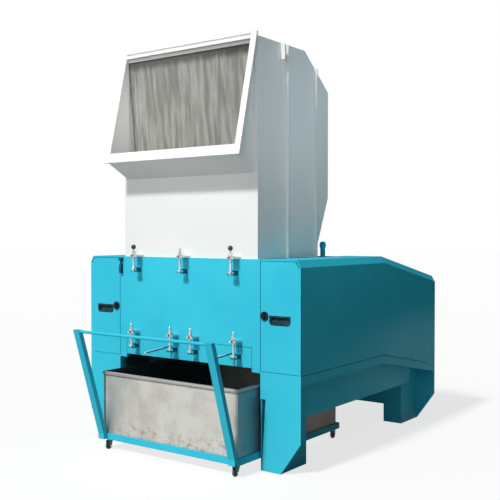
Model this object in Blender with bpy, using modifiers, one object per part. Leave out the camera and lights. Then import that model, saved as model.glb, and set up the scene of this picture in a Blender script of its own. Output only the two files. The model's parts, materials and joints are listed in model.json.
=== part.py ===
"""Plastic granulator: a low twin-cabinet base on four legs, a tall feed hopper with a slanted mouth
and strip curtain, and a wheeled collecting cart. Metres, +Z up, front faces -Y, the floor is Z 0."""

import math

import bmesh
import bpy
from mathutils import Vector

# Fits
SEAT_GAP = 0.0003
SEAM_GAP = 0.003
SHEET = 0.008
CUT_PAST = 0.050

# Base
BASE_WIDTH = 1.844
BASE_DEPTH = 2.0
DECK_HEIGHT = 1.336
CABINET_WIDTH = 0.303
EDGE_ACROSS = 0.028
EDGE_DOWN = 0.046
BEND_BACK = 1.115
REAR_DROP = 0.177
SEAM_HEIGHT = 0.628
SKIRT_HEIGHT = 0.062
SKIRT_THICKNESS = 0.010
SKIRT_GAP = 0.005
SKIRT_SETBACK = 0.002
HANDLE_REACH = 0.486
CAVITY_REACH = 0.200

# Doors
DOOR_THICKNESS = 0.012
DOOR_POCKET = 0.018
DOOR_CORNER_GAP = 0.009
DOOR_EDGE_INSET = 0.001
PIVOT_INSET = 0.008
PIVOT_SETBACK = 0.006
PIN_RADIUS = 0.003
PIN_CLEARANCE = 0.0008
PIN_LENGTH = 0.014
PULL_WIDTH = 0.160
PULL_HEIGHT = 0.060
PULL_HEIGHT_ABOVE_FLOOR = 0.957
PULL_INSET = 0.155
PULL_DEPTH = 0.026
PULL_WALL = 0.003
PULL_BORDER = 0.012
PULL_CORNER = 0.025
PULL_LIP = 0.003
LOCK_RADIUS = 0.028
LOCK_HEIGHT = 0.982
LOCK_PROUD = 0.009
LOCK_WALL = 0.006
LOCK_SEAT = 0.008
LOCK_WING = 0.010

# Legs and beams
LEG_PLATE = 0.012
LEG_WIDTH = 0.154
LEG_WALL = 0.006
LEG_DEPTH = 0.300
LEG_RECESS = 0.110
LEG_FOOT_INSET = 0.012
LEG_NOTCH_WIDTH = 0.040
LEG_NOTCH_HEIGHT = 0.455
LEG_CHAMFER_HEIGHT = 0.209
BEAM_BOTTOM = 0.325
BEAM_REAR_INSET = 0.240
BEAM_TOP = 0.562
BEAM_OUTER = 0.822
BEAM_ROUNDING = 0.006
CROSS_PLATE_BOTTOM = 0.140
CROSS_PLATE_TOP = 0.520

# Middle
PANEL_THICKNESS = 0.030
PANEL_BOTTOM = 0.618
FLAP_WIDTH = 1.100
FLAP_BOTTOM = 0.643
FLAP_TOP = 0.772
FLAP_ROD_REACH = 0.255
FLAP_ROD_RADIUS = 0.007
FLAP_ROD_DROP = 0.018
CHAMBER_DEPTH = 0.950
CHAMBER_BOTTOM = 0.660
THROAT_WIDTH = 1.060
THROAT_FRONT = 0.110
THROAT_REAR = 0.690
THROAT_FLOOR = 0.860
COVER_DROP = 0.101
COVER_REAR_BOTTOM = 0.450
SWITCH_FROM_CENTRE = 0.600
SWITCH_WIDTH = 0.020
SWITCH_DEPTH = 0.022
SWITCH_BOTTOM_DROP = 0.120
SWITCH_TOP_DROP = 0.055
SWITCH_ROUNDING = 0.002
SWITCH_KEY_WIDTH = 0.008
SWITCH_KEY_DEPTH = 0.016
SWITCH_HEAD_WIDTH = 0.026
SWITCH_HEAD_DEPTH = 0.024
SWITCH_HEAD_BOTTOM_DROP = 0.030
SWITCH_HEAD_TOP_DROP = 0.008

# Hopper
HOPPER_WIDTH = 1.170
HOPPER_FRONT = 0.020
HOPPER_REAR = 0.884
HOPPER_HEIGHT = 1.416
HOPPER_TOP_LENGTH = 0.550
SHOULDER_RISE = 1.171
WAIST_RISE = 0.419
ANKLE_RISE = 0.094
ANKLE_REAR = 0.745
HOPPER_SHEET = 0.006
RIB_PROUD = 0.020
RIB_THICKNESS = 0.010
RIB_BACKS = (0.340, 0.700)
NOTCH_WIDTH = 0.045
NOTCH_DEPTH = 0.075
NOTCH_FROM_RIB = 0.012
EAR_PROUD = 0.035
EAR_DROP = 0.110
EAR_PLATE = 0.008
ROOF_SETTING = 0.002
MOUTH_REACH = 0.191
MOUTH_LIP_RISE = 0.653
MOUTH_TOP_RISE = 0.026
MOUTH_WALL_RISE = 0.550
MOUTH_BAR = 0.045
MOUTH_LIP_HEIGHT = 0.066
MOUTH_FRAME_DEPTH = 0.012
MOUTH_FRAME_OVERHANG = 0.004
MOUTH_GROOVE = 0.011
MOUTH_GROOVE_EDGE = 0.008
MOUTH_GROOVE_DEPTH = 0.008
CHEEK_INSET = 0.028
CURTAIN_THICKNESS = 0.030
CURTAIN_SIDE_GAP = 0.006
CURTAIN_DROP = 0.040
CURTAIN_LENGTH = 0.780
CURTAIN_TOP_BACK = 0.018
CURTAIN_BOTTOM_BACK = 0.090
RAIL_SIZE = 0.030
LUG_HEIGHT = 0.095
LUG_FROM_CENTRE = 0.530
LUG_INSET = 0.045
LUG_THICKNESS = 0.024
LUG_EYE_RADIUS = 0.026

# Swing bolts
CLAMP_SPACING = 0.427
LOWER_INNER = 0.090
LOWER_OUTER = 0.450
CLAMP_STANDOFF = 0.060
UPPER_PIVOT_DROP = 0.088
LOWER_PIVOT_HEIGHT = 0.712
CLAMP_SPAN = 0.104
EYE_RADIUS = 0.015
EYE_WIDTH = 0.020
SHANK_RADIUS = 0.0075
PIVOT_RADIUS = 0.006
PIVOT_PROUD = 0.003
EAR_THICKNESS = 0.008
EAR_RADIUS = 0.015
EAR_SIDE_GAP = 0.0015
FORK_WIDTH = 0.052
FORK_THICKNESS = 0.014
FORK_SLOT = 0.020
FORK_NOSE = 0.011
NUT_RADIUS = 0.014
NUT_HEIGHT = 0.020
WASHER_GAP = 0.0008
WASHER_RADIUS = 0.017
WASHER_HEIGHT = 0.004
SHANK_TAIL = 0.030
BALL_RADIUS = 0.017

# Cart
CART_WIDTH = 1.187
CART_OFFSET = 0.019
CART_LENGTH = 1.233
CART_FRONT = 0.225
CART_FRAME_BOTTOM = 0.075
CHANNEL_HEIGHT = 0.042
CHANNEL_WIDTH = 0.050
CHANNEL_WALL = 0.006
BIN_TOP = 0.545
BIN_SHEET = 0.005
BIN_INSET = 0.010
BIN_REAR_INSET = 0.037
RIM_RADIUS = 0.011
HANDLE_TOP = 0.857
UPRIGHT_WIDTH = 0.052
UPRIGHT_DEPTH = 0.034
CROSSBAR_RADIUS = 0.0105
WHEEL_RADIUS = 0.027
WHEEL_WIDTH = 0.020
WHEEL_TRAIL = 0.014
WHEEL_SIDE_GAP = 0.002
FORK_WALL = 0.003
CASTER_PLATE = 0.004
CASTER_INSET = 0.040
REAR_CASTER_INSET = 0.026
CASTER_PLATE_SIZE = 0.050
CASTER_CROWN = 0.014
NECK_RADIUS = 0.012
FLANGE_RADIUS = 0.020
CHEEK_FOOT = 0.009
CHEEK_SETBACK = 0.001
SWIVEL_HEIGHT = 0.008
AXLE_RADIUS = 0.004
HUB_RADIUS = 0.010
HUB_PROUD = 0.002
TREAD_CROWN = 0.003

FRONT_Y = (HANDLE_REACH - BASE_DEPTH) / 2
REAR_Y = FRONT_Y + BASE_DEPTH
HALF_WIDTH = BASE_WIDTH / 2
INNER_X = HALF_WIDTH - CABINET_WIDTH
CLAMP_Y = FRONT_Y - CLAMP_STANDOFF
SLOPE = math.atan2(REAR_DROP, BASE_DEPTH - BEND_BACK)
COVER_HEIGHT = DECK_HEIGHT - COVER_DROP
UPPER_PIVOT_HEIGHT = DECK_HEIGHT - UPPER_PIVOT_DROP
HOPPER_TOP = DECK_HEIGHT + HOPPER_HEIGHT
SHOULDER_HEIGHT = DECK_HEIGHT + SHOULDER_RISE
WAIST_HEIGHT = DECK_HEIGHT + WAIST_RISE
ANKLE_HEIGHT = DECK_HEIGHT + ANKLE_RISE
MOUTH_TOP = HOPPER_TOP + MOUTH_TOP_RISE
MOUTH_LIP_BOTTOM = DECK_HEIGHT + MOUTH_LIP_RISE
MOUTH_WALL_HEIGHT = DECK_HEIGHT + MOUTH_WALL_RISE
CURTAIN_TOP = HOPPER_TOP - CURTAIN_DROP
CURTAIN_BOTTOM = CURTAIN_TOP - CURTAIN_LENGTH
LEFT_AND_RIGHT = (("left", -1), ("right", 1))

for old in list(bpy.data.objects):
    bpy.data.objects.remove(old, do_unlink=True)

parts = bpy.data.collections.new("plastic_granulator")
cutters = bpy.data.collections.new("cutters")
bpy.context.scene.collection.children.link(parts)
bpy.context.scene.collection.children.link(cutters)


def material(name, colour, roughness, metallic=0.0):
    made = bpy.data.materials.new(name)
    made.use_nodes = True
    shader = made.node_tree.nodes["Principled BSDF"]
    shader.inputs["Base Color"].default_value = (*colour, 1.0)
    shader.inputs["Roughness"].default_value = roughness
    shader.inputs["Metallic"].default_value = metallic
    return made


TURQUOISE = material("turquoise_paint", (0.05, 0.58, 0.75), 0.40)
WHITE = material("white_paint", (0.86, 0.88, 0.86), 0.45)
STEEL = material("stainless_sheet", (0.60, 0.59, 0.56), 0.38, 1.0)
CHROME = material("plated_steel", (0.72, 0.70, 0.68), 0.25, 1.0)
DARK = material("dark_steel", (0.03, 0.07, 0.08), 0.50, 0.6)
BLACK = material("black_plastic", (0.015, 0.02, 0.025), 0.45)
RUBBER = material("wheel_rubber", (0.05, 0.09, 0.09), 0.70)
STRIP = material("strip_plastic", (0.42, 0.41, 0.38), 0.55)


def add_object(name, data, finish, location=(0, 0, 0), rotation=(0, 0, 0)):
    made = bpy.data.objects.new(name, data)
    made.location = location
    made.rotation_euler = rotation
    if finish is None:
        cutters.objects.link(made)
        made.hide_render = True
        made.display_type = "WIRE"
    else:
        parts.objects.link(made)
        data.materials.append(finish)
    return made


def pivot(name, location):
    """An empty on a joint's axis, which carries the pieces that move with it."""
    made = bpy.data.objects.new(name, None)
    made.location = location
    made.empty_display_size = 0.05
    parts.objects.link(made)
    return made


def box(name, low, high, finish=None, bevel=0.0):
    """A block between two corners."""
    low, high = Vector(low), Vector(high)
    shape = bmesh.new()
    bmesh.ops.create_cube(shape, size=1.0)
    bmesh.ops.scale(shape, vec=high - low, verts=shape.verts)
    data = bpy.data.meshes.new(name)
    shape.to_mesh(data)
    shape.free()
    made = add_object(name, data, finish, (low + high) / 2)
    if bevel:
        round_edges(made, bevel)
    return made


def cylinder(name, start, end, radius, finish=None, sides=16):
    """A round bar from one point to another."""
    start, end = Vector(start), Vector(end)
    along = end - start
    shape = bmesh.new()
    bmesh.ops.create_cone(
        shape,
        cap_ends=True,
        segments=sides,
        radius1=radius,
        radius2=radius,
        depth=along.length,
    )
    data = bpy.data.meshes.new(name)
    shape.to_mesh(data)
    shape.free()
    data.shade_smooth()
    data.set_sharp_from_angle(angle=math.radians(40))
    turn = along.to_track_quat("Z", "Y").to_euler()
    return add_object(name, data, finish, (start + end) / 2, turn)


def closed_bar(name, corners, radius):
    """A round bar bent into a closed frame through these corners."""
    curve = bpy.data.curves.new(name, "CURVE")
    curve.dimensions = "3D"
    curve.bevel_depth = radius
    curve.bevel_resolution = 2
    spline = curve.splines.new("POLY")
    spline.points.add(len(corners) - 1)
    for point, corner in zip(spline.points, corners):
        point.co = (*corner, 1)
    spline.use_cyclic_u = True
    guide = bpy.data.objects.new(name + "_path", curve)
    bpy.context.scene.collection.objects.link(guide)
    data = as_mesh(guide)
    bpy.data.objects.remove(guide, do_unlink=True)
    bpy.data.curves.remove(curve)
    return add_object(name, data, None)


def as_mesh(guide):
    """A curve object's own shape as a clean mesh."""
    bpy.context.view_layer.update()
    graph = bpy.context.evaluated_depsgraph_get()
    data = bpy.data.meshes.new_from_object(guide.evaluated_get(graph))
    shape = bmesh.new()
    shape.from_mesh(data)
    bmesh.ops.remove_doubles(shape, verts=shape.verts, dist=0.00001)
    bmesh.ops.recalc_face_normals(shape, faces=shape.faces)
    shape.to_mesh(data)
    shape.free()
    return data


def ball(name, centre, radius, finish=None):
    shape = bmesh.new()
    bmesh.ops.create_uvsphere(shape, u_segments=14, v_segments=8, radius=radius)
    data = bpy.data.meshes.new(name)
    shape.to_mesh(data)
    shape.free()
    data.shade_smooth()
    return add_object(name, data, finish, centre)


def flat_outline(name, points, thickness, location, rotation, finish):
    """A closed 2D outline given its thickness, as a mesh."""
    curve = bpy.data.curves.new(name, "CURVE")
    curve.dimensions = "2D"
    curve.fill_mode = "BOTH"
    curve.extrude = thickness / 2
    spline = curve.splines.new("POLY")
    spline.points.add(len(points) - 1)
    for point, (across, up) in zip(spline.points, points):
        point.co = (across, up, 0, 1)
    spline.use_cyclic_u = True
    guide = bpy.data.objects.new(name + "_outline", curve)
    bpy.context.scene.collection.objects.link(guide)
    guide.location = location
    guide.rotation_euler = rotation
    data = as_mesh(guide)
    data.name = name
    made = add_object(name, data, finish)
    made.matrix_world = guide.matrix_world
    bpy.data.objects.remove(guide, do_unlink=True)
    bpy.data.curves.remove(curve)
    return made


def side_plate(name, points, left, right, finish=None):
    """An outline seen from the side, in world Y and Z, between two values of X."""
    turn = (math.pi / 2, 0, math.pi / 2)
    return flat_outline(name, points, right - left, ((left + right) / 2, 0, 0), turn, finish)


def front_plate(name, points, front, back, finish=None):
    """An outline seen from the front, in world X and Z, between two values of Y."""
    return flat_outline(name, points, back - front, (0, (front + back) / 2, 0), (math.pi / 2, 0, 0), finish)


def modify(made, kind, **settings):
    modifier = made.modifiers.new(kind.lower(), kind)
    for name, value in settings.items():
        setattr(modifier, name, value)
    return modifier


def round_edges(made, width, segments=2, angle=40):
    limit = math.radians(angle)
    modify(made, "BEVEL", width=width, segments=segments, limit_method="ANGLE", angle_limit=limit)
    made.data.shade_smooth()
    made.data.set_sharp_from_angle(angle=math.radians(40))


def cut(made, *tools):
    for tool in tools:
        modify(made, "BOOLEAN", operation="DIFFERENCE", solver="EXACT", object=tool)


def fuse(made, *tools):
    for tool in tools:
        modify(made, "BOOLEAN", operation="UNION", solver="EXACT", object=tool)


def ordered(side, near, far):
    """Two distances from the middle as a low and a high X on the left or the right."""
    return (near, far) if side > 0 else (-far, -near)


def ordered_pair(first, second):
    return min(first, second), max(first, second)


def mirrored(side, points):
    return [(side * across, up) for across, up in points]


def arc(centre, radius, start, end, steps=5):
    """Points of an arc, with its angles in degrees."""
    angles = [math.radians(start + (end - start) * i / steps) for i in range(steps + 1)]
    return [(centre[0] + radius * math.cos(a), centre[1] + radius * math.sin(a)) for a in angles]


def base_line(height, back_from=0.0, back_to=BASE_DEPTH, drop=0.0):
    """A level line that bends down to the rear, as points of Y and Z, moved square to itself by drop."""
    bend_shift = drop * math.tan(SLOPE / 2)
    fall = math.tan(SLOPE) * (back_to - BEND_BACK + bend_shift)
    return [
        (FRONT_Y + back_from, height - drop),
        (FRONT_Y + BEND_BACK - bend_shift, height - drop),
        (FRONT_Y + back_to, height - drop - fall),
    ]


def edge_side(height, inset=0.0):
    """How far from the middle a cabinet's folded edge is at a height, moved inward square to itself."""
    slope = EDGE_ACROSS / EDGE_DOWN
    moved = inset * math.hypot(EDGE_ACROSS, EDGE_DOWN) / EDGE_DOWN
    return HALF_WIDTH - slope * (height - DECK_HEIGHT + EDGE_DOWN) - moved


def cabinet_body(name, side, near, inset, back_from, back_to, bottom, finish=None):
    """A closed prism in the cabinet's side profile, with its long outer top edge folded over."""
    outer = HALF_WIDTH - inset
    fold = edge_side(DECK_HEIGHT - inset, inset)
    fold_start = DECK_HEIGHT - EDGE_DOWN
    fold_end = fold_start + (edge_side(fold_start, inset) - outer) * EDGE_DOWN / EDGE_ACROSS
    top = base_line(DECK_HEIGHT, back_from, back_to, inset)
    under = base_line(bottom, back_from, back_to)
    low_top = base_line(DECK_HEIGHT, back_from, back_to, DECK_HEIGHT - fold_end)
    made = side_plate(name, top + under[::-1], *ordered(side, near, fold), finish)
    bpy.context.view_layer.update()
    inward = made.matrix_world.inverted()
    shape = bmesh.new()
    shape.from_mesh(made.data)
    end_faces = [
        face
        for face in shape.faces
        if all(abs(abs((made.matrix_world @ vertex.co).x) - fold) < SEAT_GAP for vertex in face.verts)
    ]
    grown = bmesh.ops.extrude_face_region(shape, geom=end_faces)["geom"]
    bmesh.ops.delete(shape, geom=end_faces, context="FACES")
    for vertex in grown:
        if not isinstance(vertex, bmesh.types.BMVert):
            continue
        place = made.matrix_world @ vertex.co
        place.x = side * outer
        for (high_y, high_z), (low_y, low_z) in zip(top, low_top):
            if abs(place.y - high_y) < SEAT_GAP and abs(place.z - high_z) < SEAT_GAP:
                place.y, place.z = low_y, low_z
                break
        vertex.co = inward @ place
    bmesh.ops.recalc_face_normals(shape, faces=shape.faces)
    shape.to_mesh(made.data)
    shape.free()
    return made


def build_cabinet(label, side):
    """The folded cover of one drive cabinet, open below and behind its door."""
    shell = cabinet_body(label + "_housing", side, INNER_X, 0.0, 0.0, BASE_DEPTH, SEAM_HEIGHT, TURQUOISE)
    cavity = cabinet_body(
        label + "_cavity",
        side,
        INNER_X + SHEET,
        SHEET,
        -CAVITY_REACH,
        BASE_DEPTH - SHEET,
        SEAM_HEIGHT - CAVITY_REACH,
    )
    pocket_low, pocket_high = ordered(side, INNER_X - CUT_PAST, HALF_WIDTH + CUT_PAST)
    pocket = box(
        label + "_door_pocket",
        (pocket_low, FRONT_Y - CUT_PAST, SEAM_HEIGHT - CUT_PAST),
        (pocket_high, FRONT_Y + DOOR_POCKET, DECK_HEIGHT - EDGE_DOWN),
    )
    edge_low, edge_high = ordered(side, INNER_X - CUT_PAST, INNER_X + 2 * SHEET)
    edge = box(
        label + "_pocket_edge",
        (edge_low, FRONT_Y - CUT_PAST, SEAM_HEIGHT),
        (edge_high, FRONT_Y + DOOR_POCKET, DECK_HEIGHT - SHEET),
    )
    cut(shell, cavity, pocket, edge)
    axis_x = side * (HALF_WIDTH - PIVOT_INSET)
    axis_y = FRONT_Y + PIVOT_SETBACK
    fold_start = DECK_HEIGHT - EDGE_DOWN
    pin = cylinder(
        label + "_upper_pin",
        (axis_x, axis_y, fold_start - PIN_LENGTH),
        (axis_x, axis_y, fold_start + PIN_LENGTH / 2),
        PIN_RADIUS,
    )
    fuse(shell, pin)
    skirt_outer = HALF_WIDTH - SKIRT_SETBACK
    skirt_low, skirt_high = ordered(side, skirt_outer - SKIRT_THICKNESS, skirt_outer)
    back_to = BASE_DEPTH - LEG_PLATE - SEAT_GAP
    upper = base_line(SEAM_HEIGHT - SKIRT_GAP, LEG_PLATE + SEAT_GAP, back_to)
    lower = base_line(SEAM_HEIGHT - SKIRT_HEIGHT, LEG_PLATE + SEAT_GAP, back_to)
    side_plate(label + "_skirt", upper + lower[::-1], skirt_low, skirt_high, TURQUOISE)


def build_door(label, side):
    """A flush steel door hung on an upper and a lower pin, with a recessed pull and a round lock."""
    axis = (side * (HALF_WIDTH - PIVOT_INSET), FRONT_Y + PIVOT_SETBACK)
    hinge = pivot(label + "_door_axis", (*axis, SEAM_HEIGHT))
    inner = INNER_X + SEAM_GAP
    outer = HALF_WIDTH - DOOR_EDGE_INSET
    bottom = SEAM_HEIGHT + SEAM_GAP
    top = DECK_HEIGHT - SHEET - SEAM_GAP
    level = DECK_HEIGHT - EDGE_DOWN - SEAM_GAP
    points = [
        (inner, bottom),
        (outer, bottom),
        (outer, level),
        (edge_side(level, SHEET) - DOOR_CORNER_GAP, level),
        (edge_side(top, SHEET) - DOOR_CORNER_GAP, top),
        (inner, top),
    ]
    door = front_plate(label + "_door", mirrored(side, points), FRONT_Y, FRONT_Y + DOOR_THICKNESS, TURQUOISE)
    hold_by(door, hinge)
    bore = PIN_RADIUS + PIN_CLEARANCE
    bores = [
        cylinder(f"{label}_{end}_bore", (*axis, height - PIN_LENGTH), (*axis, height + PIN_LENGTH), bore)
        for end, height in (("upper", level), ("lower", bottom))
    ]
    pull_x = side * (HALF_WIDTH - PULL_INSET)
    half = PULL_WIDTH / 2
    rise = PULL_HEIGHT / 2
    pull_points = arc((half - PULL_CORNER, PULL_CORNER - rise), PULL_CORNER, -90, 0, 4)
    pull_points += [(half, rise), (-half, rise)]
    pull_points += arc((PULL_CORNER - half, PULL_CORNER - rise), PULL_CORNER, 180, 270, 4)
    share = 1 + 2 * SEAT_GAP / PULL_HEIGHT
    around = [(pull_x + across * share, PULL_HEIGHT_ABOVE_FLOOR + up * share) for across, up in pull_points]
    seated = [(pull_x + across, PULL_HEIGHT_ABOVE_FLOOR + up) for across, up in pull_points]
    recess = front_plate(label + "_pull_recess", around, FRONT_Y - PULL_DEPTH, FRONT_Y + PULL_DEPTH)
    lock_x = side * (INNER_X + SEAM_GAP + LOCK_RADIUS + SEAM_GAP)
    lock_hole = cylinder(
        label + "_lock_hole",
        (lock_x, FRONT_Y - LOCK_SEAT, LOCK_HEIGHT),
        (lock_x, FRONT_Y + LOCK_SEAT, LOCK_HEIGHT),
        LOCK_RADIUS - LOCK_WALL,
        sides=24,
    )
    cut(door, *bores, recess, lock_hole)
    pull = front_plate(label + "_door_pull", seated, FRONT_Y - PULL_LIP, FRONT_Y + PULL_DEPTH, BLACK)
    hold_by(pull, hinge)
    pocket_bottom = PULL_HEIGHT_ABOVE_FLOOR - rise + PULL_BORDER
    pocket_top = PULL_HEIGHT_ABOVE_FLOOR + rise - PULL_BORDER / 2
    finger = box(
        label + "_finger_pocket",
        (pull_x - half + PULL_BORDER, FRONT_Y - PULL_DEPTH, pocket_bottom),
        (pull_x + half - PULL_BORDER, FRONT_Y + PULL_DEPTH - PULL_WALL, pocket_top),
    )
    cut(pull, finger)
    lock = cylinder(
        label + "_door_lock",
        (lock_x, FRONT_Y - LOCK_PROUD, LOCK_HEIGHT),
        (lock_x, FRONT_Y - SEAT_GAP, LOCK_HEIGHT),
        LOCK_RADIUS,
        BLACK,
        sides=24,
    )
    hold_by(lock, hinge)
    barrel = cylinder(
        label + "_lock_barrel",
        (lock_x, FRONT_Y - LOCK_PROUD / 2, LOCK_HEIGHT),
        (lock_x, FRONT_Y + LOCK_SEAT - SEAT_GAP, LOCK_HEIGHT),
        LOCK_RADIUS - LOCK_WALL - SEAT_GAP,
        sides=24,
    )
    wing = box(
        label + "_lock_wing",
        (lock_x - LOCK_WING / 2, FRONT_Y - LOCK_PROUD - LOCK_WING, LOCK_HEIGHT - 2 * LOCK_WING),
        (lock_x + LOCK_WING / 2, FRONT_Y - LOCK_PROUD / 2, LOCK_HEIGHT + 2 * LOCK_WING),
    )
    fuse(lock, barrel, wing)


def hold_by(made, axis):
    """Parents a placed piece to the empty on its axis, and leaves it where it is."""
    bpy.context.view_layer.update()
    place = made.matrix_world.copy()
    made.parent = axis
    made.matrix_parent_inverse = axis.matrix_world.inverted()
    made.matrix_world = place


def build_leg(label, side, front):
    """One leg: a folded box post behind a wide chamfered end plate, which is flush with the cabinet's end."""
    end_y = FRONT_Y if front else REAR_Y
    inward = 1 if front else -1
    plate_top = SEAM_HEIGHT - SEAT_GAP if front else SEAM_HEIGHT - REAR_DROP - SEAT_GAP
    post_outer = INNER_X + LEG_WIDTH
    points = [(post_outer, 0.0), (HALF_WIDTH, LEG_CHAMFER_HEIGHT), (HALF_WIDTH, plate_top)]
    if front:
        points += [
            (INNER_X, plate_top),
            (INNER_X, LEG_NOTCH_HEIGHT),
            (INNER_X + LEG_NOTCH_WIDTH, LEG_NOTCH_HEIGHT),
            (INNER_X + LEG_FOOT_INSET, 0.0),
        ]
    else:
        points += [(INNER_X + LEG_NOTCH_WIDTH, plate_top), (INNER_X + LEG_NOTCH_WIDTH, 0.0)]
    name = f"{'front' if front else 'rear'}_{label}_leg"
    near, far = ordered_pair(end_y, end_y + inward * LEG_PLATE)
    leg = front_plate(name, mirrored(side, points), near, far, TURQUOISE)
    low, high = ordered(side, INNER_X, post_outer)
    start, end = ordered_pair(end_y + inward * LEG_PLATE / 2, end_y + inward * LEG_DEPTH)
    post_top = BEAM_BOTTOM - SEAT_GAP
    if not front:
        post = box(name + "_post", (low, start, 0.0), (high, end, post_top))
        behind_beam = REAR_Y - BEAM_REAR_INSET + SEAT_GAP
        riser = box(name + "_riser", (low, behind_beam, post_top - LEG_WALL), (high, end, plate_top))
        fuse(leg, post, riser)
        return
    post = box(name + "_post", (low, start, 0.0), (high, end, plate_top - 2 * SEAM_GAP))
    hollow_low, hollow_high = ordered(side, INNER_X + LEG_WALL, post_outer - LEG_WALL)
    hollow = box(
        name + "_hollow",
        (hollow_low, start - LEG_DEPTH, LEG_WALL),
        (hollow_high, end - LEG_WALL, post_top - LEG_WALL),
    )
    above_low, above_high = ordered(side, INNER_X + LEG_WALL, HALF_WIDTH)
    above = box(
        name + "_above_post",
        (above_low, start - LEG_DEPTH, post_top),
        (above_high, end + LEG_DEPTH, DECK_HEIGHT),
    )
    channel = box(
        name + "_channel",
        (hollow_low, start - LEG_DEPTH, LEG_WALL),
        (hollow_high, FRONT_Y + LEG_RECESS, plate_top),
    )
    cut(post, hollow, above, channel)
    pin = cylinder(
        name + "_pin",
        (side * (HALF_WIDTH - PIVOT_INSET), end_y + PIVOT_SETBACK, plate_top - PIN_LENGTH),
        (side * (HALF_WIDTH - PIVOT_INSET), end_y + PIVOT_SETBACK, plate_top + PIN_LENGTH),
        PIN_RADIUS,
    )
    fuse(leg, post, pin)


def build_beams():
    """The beam over each pair of legs, and the plate across the rear."""
    for label, side in LEFT_AND_RIGHT:
        low, high = ordered(side, INNER_X + SHEET + SEAT_GAP, BEAM_OUTER)
        box(
            label + "_beam",
            (low, FRONT_Y + LEG_RECESS, BEAM_BOTTOM),
            (high, REAR_Y - BEAM_REAR_INSET, BEAM_TOP),
            TURQUOISE,
            bevel=BEAM_ROUNDING,
        )
    back = REAR_Y - LEG_DEPTH + LEG_PLATE
    box(
        "rear_cross_plate",
        (-INNER_X + SEAT_GAP, back - LEG_PLATE, CROSS_PLATE_BOTTOM),
        (INNER_X - SEAT_GAP, back, CROSS_PLATE_TOP),
        TURQUOISE,
    )


def clamp_bracket(name, x, height):
    """Two ears and the pin that a swing bolt turns on, which stand on the plate behind them."""
    half = EYE_WIDTH / 2 + EAR_SIDE_GAP
    solids = []
    for end, near in (("a", -half - EAR_THICKNESS), ("b", half)):
        ear = cylinder(
            f"{name}_ear_{end}",
            (x + near, CLAMP_Y, height),
            (x + near + EAR_THICKNESS, CLAMP_Y, height),
            EAR_RADIUS,
        )
        web = box(
            f"{name}_web_{end}",
            (x + near, CLAMP_Y, height - EAR_RADIUS),
            (x + near + EAR_THICKNESS, FRONT_Y + SHEET, height + EAR_RADIUS),
        )
        solids += [ear, web]
    pin = cylinder(
        name + "_pin",
        (x - half - EAR_THICKNESS - PIVOT_PROUD, CLAMP_Y, height),
        (x + half + EAR_THICKNESS + PIVOT_PROUD, CLAMP_Y, height),
        PIVOT_RADIUS,
        sides=12,
    )
    return solids + [pin]


def clamp_fork(name, x, height, back):
    """The slotted lug that a swing bolt closes into, from its nose to the plate that carries it."""
    half = FORK_WIDTH / 2
    nose = CLAMP_Y - FORK_NOSE
    lug = box(name, (x - half, nose, height - FORK_THICKNESS), (x + half, back, height))
    slot = box(
        name + "_slot",
        (x - FORK_SLOT / 2, nose - CUT_PAST, height - 2 * FORK_THICKNESS),
        (x + FORK_SLOT / 2, CLAMP_Y + FORK_SLOT / 2, height + FORK_THICKNESS),
    )
    cut(lug, slot)
    return lug


def build_swing_bolt(name, x, height, knob):
    """An eye on the pivot pin, its shank in the fork, and the washer and nut that hold it."""
    axis = pivot(name + "_axis", (x, CLAMP_Y, height))
    half = EYE_WIDTH / 2
    bolt = cylinder(name, (x - half, CLAMP_Y, height), (x + half, CLAMP_Y, height), EYE_RADIUS, CHROME)
    hold_by(bolt, axis)
    seat = height + CLAMP_SPAN + WASHER_GAP
    nut_top = seat + WASHER_HEIGHT + NUT_HEIGHT
    top = nut_top + SHANK_TAIL
    shank = cylinder(
        name + "_shank", (x, CLAMP_Y, height + EYE_RADIUS / 2), (x, CLAMP_Y, top), SHANK_RADIUS, sides=12
    )
    washer = cylinder(name + "_washer", (x, CLAMP_Y, seat), (x, CLAMP_Y, seat + WASHER_HEIGHT), WASHER_RADIUS)
    nut = cylinder(
        name + "_nut", (x, CLAMP_Y, seat + WASHER_HEIGHT / 2), (x, CLAMP_Y, nut_top), NUT_RADIUS, sides=6
    )
    fuse(bolt, shank, washer, nut)
    if knob:
        fuse(bolt, ball(name + "_knob", (x, CLAMP_Y, top), BALL_RADIUS))
    bore = cylinder(
        name + "_bore",
        (x - half - CUT_PAST, CLAMP_Y, height),
        (x + half + CUT_PAST, CLAMP_Y, height),
        PIVOT_RADIUS + PIN_CLEARANCE,
        sides=12,
    )
    cut(bolt, bore)


UPPER_CLAMPS = (("left", -CLAMP_SPACING), ("middle", 0.0), ("right", CLAMP_SPACING))
LOWER_CLAMPS = (
    ("far_left", -LOWER_OUTER),
    ("near_left", -LOWER_INNER),
    ("near_right", LOWER_INNER),
    ("far_right", LOWER_OUTER),
)


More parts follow.
